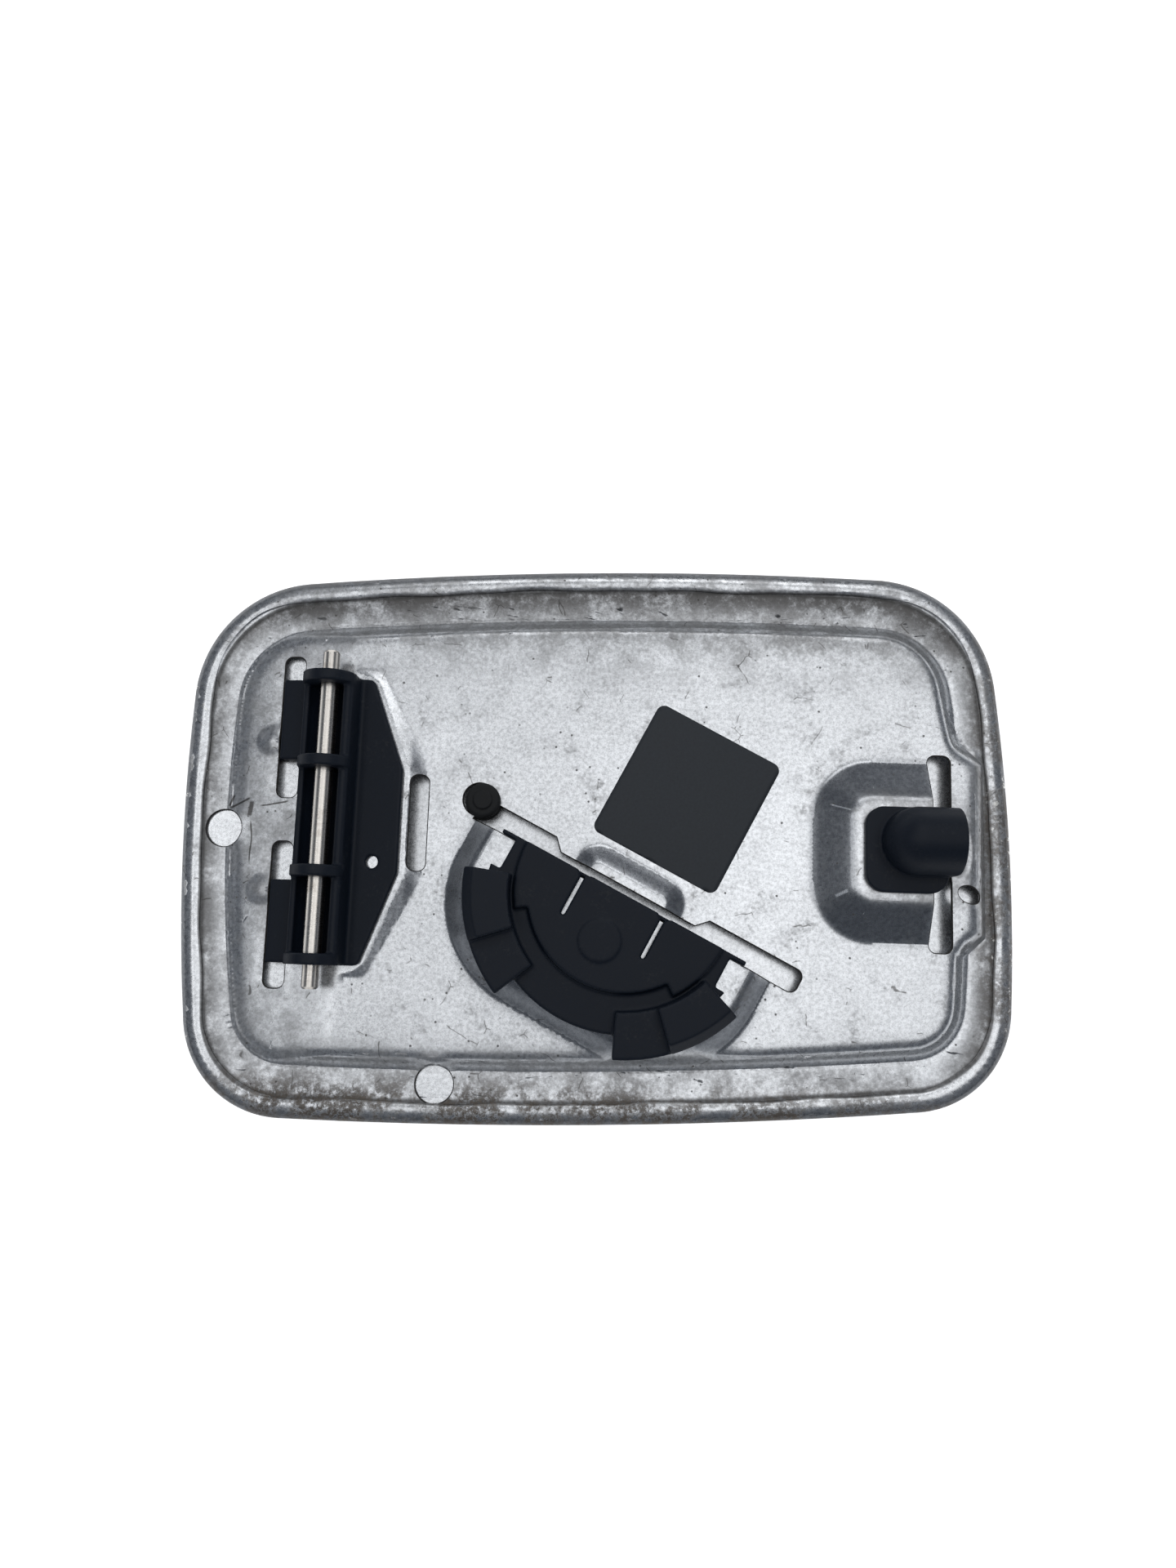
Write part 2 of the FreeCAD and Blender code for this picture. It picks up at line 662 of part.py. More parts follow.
def make_panel_holes():
    """Every slot and hole that is punched through the inner panel."""
    punches = []

    def punch(name, sketch, frame=None, **shift):
        place(sketch, z=f"-{DEEP}")
        solid = extrude(f"{name}_punch", sketch, TALL)
        punches.append(place(solid, frame, **shift))

    hook_left = "dims.hook_slot_x - dims.hook_slot_width / 2"
    hook_right = "dims.hook_slot_x + dims.hook_slot_width / 2"
    hook_end = "dims.hook_slot_start + dims.hook_slot_length"
    spot = {"x": FOLD_X, "y": "dims.hinge_y"}
    for name, low, high in (
        ("upper_hook_slot", "dims.hook_slot_start", hook_end),
        ("lower_hook_slot", f"-({hook_end})", "-dims.hook_slot_start"),
    ):
        sketch = new_sketch(f"{name}_sketch")
        draw_block(sketch, hook_left, hook_right, low, high, "dims.slot_corner")
        punch(name, sketch, spot)
    wing_left = "dims.wing_slot_x - dims.wing_slot_width / 2"
    wing_right = "dims.wing_slot_x + dims.wing_slot_width / 2"
    wing_half = "dims.wing_slot_length / 2"
    sketch = new_sketch("wing_slot_sketch")
    draw_block(sketch, wing_left, wing_right, f"-{wing_half}", wing_half, "dims.slot_corner")
    punch("wing_slot", sketch, spot)
    latch_right = f"{LATCH_SLOT_LEFT} + dims.latch_slot_width"
    latch_half = "dims.latch_slot_length / 2"
    sketch = new_sketch("latch_slot_sketch")
    draw_block(sketch, LATCH_SLOT_LEFT, latch_right, f"-{latch_half}", latch_half, "dims.slot_corner")
    punch("latch_slot", sketch, {"y": "dims.latch_y"})
    ramp_end = "(dims.waist_half + dims.waist_ramp)"
    park_slot = draw_polygon(
        new_sketch("park_slot_sketch"),
        [
            ("-dims.slot_left_end", "-dims.slot_front", None),
            ("dims.slot_right_end", "-dims.slot_front", "dims.slot_corner"),
            ("dims.slot_right_end", "dims.slot_back", "dims.slot_corner"),
            (ramp_end, "dims.slot_back", None),
            ("dims.waist_half", "dims.slot_waist", None),
            ("-dims.waist_half", "dims.slot_waist", None),
            (f"-{ramp_end}", "dims.slot_back", None),
            ("-dims.slot_left_end", "dims.slot_back", None),
        ],
    )
    punch("park_slot", park_slot, PARK_FRAME)
    hole_u = "dims.buffer_u - dims.buffer_hole_shift"
    buffer_bore = rod("buffer_bore", "dims.buffer_hole", TALL, UP, hole_u, "dims.buffer_v", f"-{DEEP}")
    punches.append(carry("buffer_punch", buffer_bore, PARK_FRAME))
    for name, x, y in (
        ("side_hole", f"{LEFT_END} + dims.side_hole_edge", "dims.side_hole_y"),
        ("low_hole", "dims.low_hole_x", f"{BOTTOM_END} + dims.low_hole_edge"),
    ):
        punches.append(rod(f"{name}_punch", "dims.tool_hole_radius", TALL, UP, x, y, f"-{DEEP}"))
    drain = doc.addObject("Part::Ellipse", "drain_outline")
    drain.setExpression("MajorRadius", "dims.drain_length / 2")
    drain.setExpression("MinorRadius", "dims.drain_width / 2")
    drain_x = f"{RIGHT_END} - dims.drain_edge"
    spot = {"x": drain_x, "y": "dims.drain_y", "axis": UP, "angle": "dims.drain_turn"}
    place(drain, spot, z=f"-{DEEP}")
    punches.append(extrude("drain_punch", drain, TALL))
    return join("panel_punches", *punches)


def make_inner_panel():
    form = make_panel_form()
    underside = carry("panel_underside", form, z="-dims.sheet_gauge")
    pressing = cut("panel_pressing", form, underside)
    return cut("inner_panel", pressing, make_panel_holes())


# Hinge clip: one moulding with a trough for the pin, four knuckles, a wing and two hooks.
def make_hinge_clip():
    plate_sketch = draw_polygon(
        new_sketch("clip_plate_sketch"),
        [
            ("dims.clip_left", "-dims.clip_half", None),
            ("dims.clip_shoulder", "-dims.clip_half", "dims.slot_corner"),
            ("dims.wing_reach", "-dims.wing_nose", None),
            ("dims.wing_reach", "dims.wing_nose", None),
            ("dims.clip_shoulder", "dims.clip_half", "dims.slot_corner"),
            ("dims.clip_left", "dims.clip_half", None),
        ],
    )
    plate = extrude("clip_plate", plate_sketch, "dims.clip_plate")
    low = "-dims.outer_knuckle"
    span = "2 * dims.outer_knuckle"
    walls = box(
        "trough_block",
        ("dims.pin_x - dims.trough_half", "dims.pin_x + dims.trough_half"),
        (low, "dims.outer_knuckle"),
        ("0", "dims.trough_wall_top"),
    )
    channel = rod("trough_channel", "dims.trough_radius", span, ALONG_Y, "dims.pin_x", low, "dims.pin_lift")
    mouth = box(
        "trough_mouth",
        ("dims.pin_x - dims.trough_radius", "dims.pin_x + dims.trough_radius"),
        (low, "dims.outer_knuckle"),
        ("dims.pin_lift", TALL),
    )
    trough = cut("trough", walls, join("trough_hollow", channel, mouth))
    rail_x = "dims.pin_x + dims.trough_half - dims.rail_radius"
    rail = rod("trough_rail", "dims.rail_radius", span, ALONG_Y, rail_x, low, "dims.trough_wall_top")
    pieces = [plate, trough, rail]
    for number, middle in enumerate(
        ("dims.outer_knuckle", "dims.inner_knuckle", "-dims.inner_knuckle", "-dims.outer_knuckle"), 1
    ):
        near, far = f"{middle} - dims.knuckle_width / 2", f"{middle} + dims.knuckle_width / 2"
        ring = rod(
            f"knuckle_{number}",
            "dims.knuckle_radius",
            "dims.knuckle_width",
            ALONG_Y,
            "dims.pin_x",
            near,
            "dims.pin_lift",
        )
        foot = box(
            f"knuckle_foot_{number}",
            ("dims.pin_x - dims.trough_half", "dims.pin_x + dims.trough_half"),
            (near, far),
            ("0", "dims.pin_lift"),
        )
        pieces += [ring, foot]
    slot_left = "dims.hook_slot_x - dims.hook_slot_width / 2"
    slot_right = "dims.hook_slot_x + dims.hook_slot_width / 2"
    hook_top = "-dims.sheet_gauge - dims.clip_clearance"
    hook_bottom = f"{hook_top} - dims.hook_thickness"
    hook_end = "dims.hook_start + dims.hook_length"
    for number, reach in ((1, ("dims.hook_start", hook_end)), (2, (f"-({hook_end})", "-dims.hook_start"))):
        web_span = (f"{slot_left} + dims.hook_left_gap", f"{slot_right} - dims.hook_right_gap")
        arm = box(f"hook_arm_{number}", (web_span[0], "dims.clip_left"), reach, ("0", "dims.clip_plate"))
        web = box(f"hook_web_{number}", web_span, reach, (hook_bottom, "dims.clip_plate"))
        toe_span = (f"{slot_left} - dims.hook_grip", web_span[1])
        toe = box(f"hook_toe_{number}", toe_span, reach, (hook_bottom, hook_top))
        pieces += [arm, web, toe]
    bore = rod(
        "pin_bore",
        "dims.pin_radius + dims.running_clearance",
        "2 * dims.clip_half",
        ALONG_Y,
        "dims.pin_x",
        "-dims.clip_half",
        "dims.pin_lift",
    )
    hole_x, hole_y = "dims.wing_hole_x", "dims.wing_hole_y"
    hole = rod("wing_hole", "dims.wing_hole_radius", TALL, UP, hole_x, hole_y, f"-{DEEP}")
    moulding = cut("hinge_clip", join("clip_solid", *pieces), join("clip_hollow", bore, hole))
    return place(moulding, HINGE_FRAME)


# Hinge pin: a turned rod with slightly thinner chamfered ends.
def make_hinge_pin():
    body = doc.addObject("PartDesign::Body", "hinge_pin")
    sketch = new_sketch("pin_profile", body)
    half = "dims.pin_length / 2"
    shoulder = "(dims.pin_length / 2 - dims.pin_end_length)"
    tip = "dims.pin_end_radius - dims.pin_chamfer"
    draw_polygon(
        sketch,
        [
            ("0", f"-{half}", None),
            (tip, f"-{half}", None),
            ("dims.pin_end_radius", f"-{half} + dims.pin_chamfer", None),
            ("dims.pin_end_radius", f"-{shoulder}", None),
            ("dims.pin_radius", f"-{shoulder}", None),
            ("dims.pin_radius", shoulder, None),
            ("dims.pin_end_radius", shoulder, None),
            ("dims.pin_end_radius", f"{half} - dims.pin_chamfer", None),
            (tip, half, None),
            ("0", half, None),
        ],
    )
    turn(body, sketch)
    lift = "dims.pin_lift * cos(dims.hinge_tilt) + dims.pin_x * sin(dims.hinge_tilt)"
    shift = "dims.pin_x * cos(dims.hinge_tilt) - dims.pin_lift * sin(dims.hinge_tilt)"
    return place(body, HINGE_FRAME, x=shift, z=lift)


def turn(body, sketch):
    """Revolve a half profile about the sketch's upright axis."""
    plane = next(f for f in body.Origin.OriginFeatures if f.Role == "XY_Plane")
    sketch.AttachmentSupport = [(plane, "")]
    sketch.MapMode = "FlatFace"
    revolved = body.newObject("PartDesign::Revolution", f"{body.Name}_turned")
    revolved.Profile = sketch
    revolved.ReferenceAxis = (sketch, ["V_Axis"])
    revolved.Angle = 360
    return revolved


# Latch block: a plate clipped over the pad's edge, with a hood over the latch's tunnel.
def make_latch_block():
    seat = PAD_TOP["latch"]
    block_left = f"{LATCH_SLOT_LEFT} - dims.block_length"
    block_right = f"{LATCH_SLOT_LEFT} + dims.block_overhang"
    hood_right = f"({LATCH_SLOT_LEFT} + dims.hood_overhang)"
    plate_sketch = draw_block(
        new_sketch("block_plate_sketch"),
        block_left,
        block_right,
        "-dims.block_half",
        "dims.block_half",
        "dims.block_corner",
    )
    place(plate_sketch, z=seat)
    plate = extrude("block_plate", plate_sketch, "dims.block_plate")
    axis_height = f"({seat} + dims.tunnel_floor + dims.tunnel_radius)"
    dome_x = f"({LATCH_SLOT_LEFT} - dims.hood_length + dims.hood_radius)"
    span = f"{hood_right} - {dome_x}"
    barrel = rod("hood_barrel", "dims.hood_radius", span, ALONG_X, dome_x, "dims.hood_y", axis_height)
    dome = doc.addObject("Part::Sphere", "hood_dome")
    dome.setExpression("Radius", "dims.hood_radius")
    place(dome, x=dome_x, y="dims.hood_y", z=axis_height)
    drum = rod("hood_drum", "dims.hood_radius", f"{axis_height} - {seat}", UP, dome_x, "dims.hood_y", seat)
    cheeks = box(
        "hood_cheeks",
        (dome_x, hood_right),
        ("dims.hood_y - dims.hood_radius", "dims.hood_y + dims.hood_radius"),
        (seat, axis_height),
    )
    below = box(
        "below_seat",
        (block_left, hood_right),
        ("-2 * dims.block_half", "2 * dims.block_half"),
        (f"{seat} - dims.hood_radius", seat),
    )
    hood = cut("hood", join("hood_solid", barrel, dome, drum, cheeks), below)
    jaw_top = f"{seat} - dims.sheet_gauge - dims.clip_clearance"
    jaw_bottom = f"{jaw_top} - dims.jaw_thickness"
    jaw_y = ("-dims.block_jaw_half", "dims.block_jaw_half")
    neck_left = f"{LATCH_SLOT_LEFT} + dims.clip_clearance"
    neck = box("block_neck", (neck_left, block_right), jaw_y, (jaw_bottom, seat))
    jaw_left = f"{LATCH_SLOT_LEFT} - dims.block_jaw_length"
    jaw = box("block_jaw", (jaw_left, block_right), jaw_y, (jaw_bottom, jaw_top))
    tunnel_start = f"{hood_right} - dims.tunnel_depth"
    tunnel = rod(
        "latch_tunnel",
        "dims.tunnel_radius",
        "dims.tunnel_depth",
        ALONG_X,
        tunnel_start,
        "dims.hood_y",
        axis_height,
    )
    block = cut("latch_block", join("block_solid", plate, hood, neck, jaw), tunnel)
    return place(block, {"y": "dims.latch_y"})


# Cap holder: a half round plate with fingers that hold the filler cap while the tank is filled.
def make_cap_holder():
    seat = PAD_TOP["park"]

    def ring_piece(name, inner, outer, start, end, base, height):
        sketch = draw_sector(new_sketch(f"{name}_sketch"), inner, outer, start, end)
        place(sketch, z=base)
        return extrude(name, sketch, height)

    disc = rod("holder_disc", "dims.holder_radius", "dims.holder_plate", UP, z=seat)
    step = rod("holder_step", "dims.disc_radius", "dims.disc_height + dims.holder_plate", UP, z=seat)
    boss = rod(
        "holder_boss",
        "dims.boss_radius",
        "dims.holder_plate + dims.disc_height + dims.boss_height",
        UP,
        y="-dims.boss_offset",
        z=seat,
    )
    pieces = [disc, step, boss]
    finger = ("dims.finger_inner", "dims.finger_outer")
    spans = {
        "tall": (*finger, "dims.tall_start", "dims.tall_end", "dims.tall_height"),
        "low": (*finger, "dims.tall_end", "dims.low_end", "dims.low_height"),
        "shoulder": (
            "dims.boss_radius",
            "dims.disc_shoulder",
            "0",
            "dims.shoulder_end",
            "dims.disc_height + dims.holder_plate",
        ),
    }
    for side, turned in (("left", "180 + {}"), ("right", "360 - {}")):
        for kind, (inner, outer, start, end, height) in spans.items():
            angles = [turned.format(start), turned.format(end)]
            if side == "right":
                angles.reverse()
            pieces.append(ring_piece(f"{side}_{kind}", inner, outer, *angles, seat, height))
    jaw_top = f"{seat} - dims.sheet_gauge - dims.clip_clearance"
    jaw_bottom = f"{jaw_top} - dims.jaw_thickness"
    jaw_x = ("-dims.holder_jaw_half", "dims.holder_jaw_half")
    neck_y = ("-dims.slot_front + dims.clip_clearance", "0")
    neck = box("holder_neck", jaw_x, neck_y, (jaw_bottom, seat))
    jaw = box("holder_jaw", jaw_x, ("-dims.holder_jaw_length", "0"), (jaw_bottom, jaw_top))
    tall = ("0", TALL)
    cuts = [box("holder_behind", ACROSS, ("0", f"{REACH} / 4"), tall)]
    chamfer_base = f"{seat} + dims.tall_height - dims.finger_chamfer"
    chamfer_reach = "dims.finger_outer + dims.finger_chamfer"
    rim = rod("chamfer_rim", chamfer_reach, "dims.finger_chamfer", UP, z=chamfer_base)
    crown = doc.addObject("Part::Cone", "chamfer_crown")
    crown.setExpression("Radius1", "dims.finger_outer")
    crown.setExpression("Radius2", "dims.finger_outer - dims.finger_chamfer")
    crown.setExpression("Height", "dims.finger_chamfer")
    place(crown, z=chamfer_base)
    cuts.append(cut("finger_chamfers", rim, crown))
    for side, sign in (("left", "-"), ("right", "")):
        notch_x = [f"{sign}dims.notch_half", f"{sign}{REACH} / 4"]
        trim_x = [f"{sign}dims.edge_half", f"{sign}{REACH} / 4"]
        if sign:
            notch_x.reverse()
            trim_x.reverse()
        middle = f"{sign}dims.slit_offset"
        slit_x = (f"{middle} - dims.slit_width / 2", f"{middle} + dims.slit_width / 2")
        notch = box(f"{side}_notch", notch_x, ("-dims.notch_end", "-dims.notch_start"), tall)
        slit = box(f"{side}_slit", slit_x, ("-dims.slit_length", "0"), tall)
        mouth_sketch = draw_polygon(
            new_sketch(f"{side}_mouth_sketch"),
            [
                (f"{middle} - dims.slit_mouth", "0", None),
                (middle, "-dims.slit_mouth", None),
                (f"{middle} + dims.slit_mouth", "0", None),
            ],
        )
        trim = box(f"{side}_trim", trim_x, ("-dims.notch_start", "0"), tall)
        cuts += [notch, slit, extrude(f"{side}_mouth", mouth_sketch, TALL), trim]
    upper = cut("holder_upper", join("holder_solid", *pieces), join("holder_cuts", *cuts))
    holder = join("cap_holder", upper, neck, jaw)
    return place(holder, PARK_FRAME)


# Rubber buffer: pressed into the round end of the cap holder's slot.
def make_rubber_buffer():
    body = doc.addObject("PartDesign::Body", "rubber_buffer")
    sketch = new_sketch("buffer_profile", body)
    neck = "dims.buffer_hole - dims.buffer_hole_shift - dims.clip_clearance"
    under = "-dims.sheet_gauge - dims.clip_clearance"
    bottom = f"{under} - dims.buffer_bulb_height"
    nub_base = "dims.buffer_height - dims.buffer_nub_height"
    draw_polygon(
        sketch,
        [
            ("0", bottom, None),
            ("dims.buffer_nub", bottom, None),
            ("dims.buffer_bulb", under, None),
            (neck, under, None),
            (neck, "0", None),
            ("dims.buffer_head", "0", None),
            ("dims.buffer_head", nub_base, "dims.buffer_round"),
            ("dims.buffer_nub", nub_base, None),
            ("dims.buffer_nub", "dims.buffer_height", None),
            ("0", "dims.buffer_height", None),
        ],
    )
    turn(body, sketch)
    # the profile lies flat in the body, so the body stands on end where the buffer sits
    upright = Rotation(ALONG_X, 90)
    body.Placement = FreeCAD.Placement(Vector(), upright)
    reach = "sqrt(dims.buffer_u ^ 2 + dims.buffer_v ^ 2)"
    bearing = "(dims.park_turn * 1 deg + atan2(dims.buffer_v; dims.buffer_u))"
    body.setExpression("Placement.Base.x", f"dims.park_x + {reach} * cos({bearing})")
    body.setExpression("Placement.Base.y", f"{PARK_Y} + {reach} * sin({bearing})")
    body.setExpression("Placement.Base.z", "dims.plateau_height")
    return body


# Sticker: a square film on the plateau.
def make_label():
    half_width, half_length = "dims.label_width / 2", "dims.label_length / 2"
    sketch = draw_block(
        new_sketch("label_sketch"),
        f"dims.label_u - {half_width}",
        f"dims.label_u + {half_width}",
        f"dims.label_v - {half_length}",
        f"dims.label_v + {half_length}",
        "dims.label_corner",
    )
    place(sketch, PARK_FRAME, z="dims.plateau_height")
    return extrude("label", sketch, "dims.label_film")


def export(pieces):
    doc.recompute()
    failed = [thing.Label for thing in doc.Objects if {"Invalid", "Error"} & set(thing.State)]
    if failed:
        raise RuntimeError(f"features that failed: {failed}")
    for piece in pieces:
        if piece.Shape.isNull() or not piece.Shape.isValid():
            raise RuntimeError(f"{piece.Label} has no valid shape")
    os.makedirs("parts", exist_ok=True)
    for piece in pieces:
        piece.Shape.exportStep(f"parts/{piece.Label}.step")
        solids = len(piece.Shape.Solids)
        print(f"{piece.Label}: {solids} solid, {piece.Shape.Volume:.0f} mm3, {piece.Shape.BoundBox}")


export(
    [
        make_outer_skin(),
        make_inner_panel(),
        make_hinge_clip(),
        make_hinge_pin(),
        make_latch_block(),
        make_cap_holder(),
        make_rubber_buffer(),
        make_label(),
    ]
)
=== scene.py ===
"""Looks of the fuel filler flap: paint, plastics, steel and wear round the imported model."""

import math

import bmesh
import bpy
import numpy as np
from mathutils import Matrix, Vector
from mathutils.bvhtree import BVHTree


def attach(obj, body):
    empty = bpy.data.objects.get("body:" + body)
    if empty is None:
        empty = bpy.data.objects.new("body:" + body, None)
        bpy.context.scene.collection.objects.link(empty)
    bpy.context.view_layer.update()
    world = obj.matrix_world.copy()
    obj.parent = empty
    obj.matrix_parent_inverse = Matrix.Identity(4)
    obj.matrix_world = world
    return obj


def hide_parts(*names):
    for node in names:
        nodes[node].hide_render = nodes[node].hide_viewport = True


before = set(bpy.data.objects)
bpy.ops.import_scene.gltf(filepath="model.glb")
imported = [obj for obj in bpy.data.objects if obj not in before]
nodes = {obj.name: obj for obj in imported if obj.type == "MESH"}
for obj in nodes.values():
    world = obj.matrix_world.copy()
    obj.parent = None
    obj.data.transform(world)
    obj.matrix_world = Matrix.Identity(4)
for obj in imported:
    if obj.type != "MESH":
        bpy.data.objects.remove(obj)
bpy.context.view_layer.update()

# Sizes of the flap are in millimetres, those of the room in metres.
MM = 0.001

# Camera, found from the flap's outline and fittings in the photograph
EYE = (-2.59, -29.03, 284.18)
ROLL = math.radians(1.95)
TILT = math.radians(8.6)
PHOTO_HEIGHT = 1920
FOCAL_PIXELS = 1442
SENSOR = 36
NEAREST = 0.01

# Room: each ceiling light has x, y, width and power
FLOOR_SIZE = 3
FLOOR_DROP = 0.2 * MM
FLOOR_GREY = (0.8, 0.8, 0.8, 1)
FLOOR_GLOW = 0.82
CEILING = 0.8
CEILING_DEPTH = 0.5
CEILING_LIGHTS = {
    "ceiling": (-0.1, 0.06, 0.32, 0.6),
    "ceiling_right": (0.25, 0.06, 0.38, 0.91),
    "ceiling_left": (-0.4, 0.05, 0.2, 0.62),
}
LAMP_SPOT = (0.1, 0.62, 0.78)
LAMP_SIZE = (0.7, 0.25)
LAMP_POWER = 1.5
HORIZON = (0.7, 0.72, 0.75, 1)
ROOM = (0.075, 0.086, 0.105, 1)
HORIZON_FADE = (math.sin(math.radians(13)), math.sin(math.radians(25)))


def make_camera():
    right = Vector((math.cos(ROLL), math.sin(ROLL) * math.cos(TILT), math.sin(ROLL) * math.sin(TILT)))
    up = Vector((-math.sin(ROLL), math.cos(ROLL) * math.cos(TILT), math.cos(ROLL) * math.sin(TILT)))
    turn = Matrix((right, up, right.cross(up))).transposed().to_4x4()
    data = bpy.data.cameras.new("camera")
    data.sensor_fit = "VERTICAL"
    data.sensor_height = SENSOR
    data.lens = SENSOR * FOCAL_PIXELS / PHOTO_HEIGHT
    data.clip_start = NEAREST
    camera = bpy.data.objects.new("camera", data)
    bpy.context.scene.collection.objects.link(camera)
    camera.matrix_world = Matrix.Translation(Vector(EYE) * MM) @ turn
    bpy.context.scene.camera = camera


def make_floor():
    """A floor that is white to the eye, with the flap's soft shadow left in it."""
    bpy.ops.mesh.primitive_plane_add(size=FLOOR_SIZE, location=(0, 0, -FLOOR_DROP))
    floor = bpy.context.object
    floor.name = "floor"
    material = bpy.data.materials.new("floor")
    material.use_nodes = True
    tree = material.node_tree
    tree.nodes.clear()
    path = tree.nodes.new("ShaderNodeLightPath")
    seen = path.outputs["Is Camera Ray"]
    for ray in ("Is Glossy Ray", "Is Transmission Ray"):
        either = tree.nodes.new("ShaderNodeMath")
        either.operation = "MAXIMUM"
        tree.links.new(seen, either.inputs[0])
        tree.links.new(path.outputs[ray], either.inputs[1])
        seen = either.outputs[0]
    glow = tree.nodes.new("ShaderNodeMath")
    glow.operation = "MULTIPLY"
    glow.inputs[1].default_value = FLOOR_GLOW
    pale = tree.nodes.new("ShaderNodeBsdfDiffuse")
    pale.inputs["Color"].default_value = FLOOR_GREY
    white = tree.nodes.new("ShaderNodeEmission")
    both = tree.nodes.new("ShaderNodeAddShader")
    out = tree.nodes.new("ShaderNodeOutputMaterial")
    tree.links.new(seen, glow.inputs[0])
    tree.links.new(glow.outputs[0], white.inputs["Strength"])
    tree.links.new(pale.outputs["BSDF"], both.inputs[0])
    tree.links.new(white.outputs["Emission"], both.inputs[1])
    tree.links.new(both.outputs["Shader"], out.inputs["Surface"])
    floor.data.materials.append(material)


def area_light(name, spot, target, size, power):
    data = bpy.data.lights.new(name, "AREA")
    data.shape = "RECTANGLE"
    data.size, data.size_y = size
    data.energy = power
    light = bpy.data.objects.new(name, data)
    bpy.context.scene.collection.objects.link(light)
    turn = (Vector(target) - Vector(spot)).to_track_quat("-Z", "Y").to_matrix().to_4x4()
    light.matrix_world = Matrix.Translation(Vector(spot)) @ turn


def make_light():
    for name, (x, y, width, power) in CEILING_LIGHTS.items():
        area_light(name, (x, y, CEILING), (x, y, 0), (width, CEILING_DEPTH), power)
    area_light("lamp", LAMP_SPOT, (0, 0, 0), LAMP_SIZE, LAMP_POWER)
    world = bpy.data.worlds.new("room")
    world.use_nodes = True
    tree = world.node_tree
    way = tree.nodes.new("ShaderNodeTexCoord")
    parts = tree.nodes.new("ShaderNodeSeparateXYZ")
    fade = tree.nodes.new("ShaderNodeMapRange")
    fade.interpolation_type = "SMOOTHSTEP"
    fade.inputs["From Min"].default_value, fade.inputs["From Max"].default_value = HORIZON_FADE
    tone = tree.nodes.new("ShaderNodeMix")
    tone.data_type = "RGBA"
    tone.inputs[6].default_value = HORIZON
    tone.inputs[7].default_value = ROOM
    tree.links.new(way.outputs["Generated"], parts.inputs[0])
    tree.links.new(parts.outputs[2], fade.inputs["Value"])
    tree.links.new(fade.outputs["Result"], tone.inputs["Factor"])
    tree.links.new(tone.outputs[2], tree.nodes["Background"].inputs["Color"])
    bpy.context.scene.world = world
    bpy.context.scene.view_settings.view_transform = "Standard"


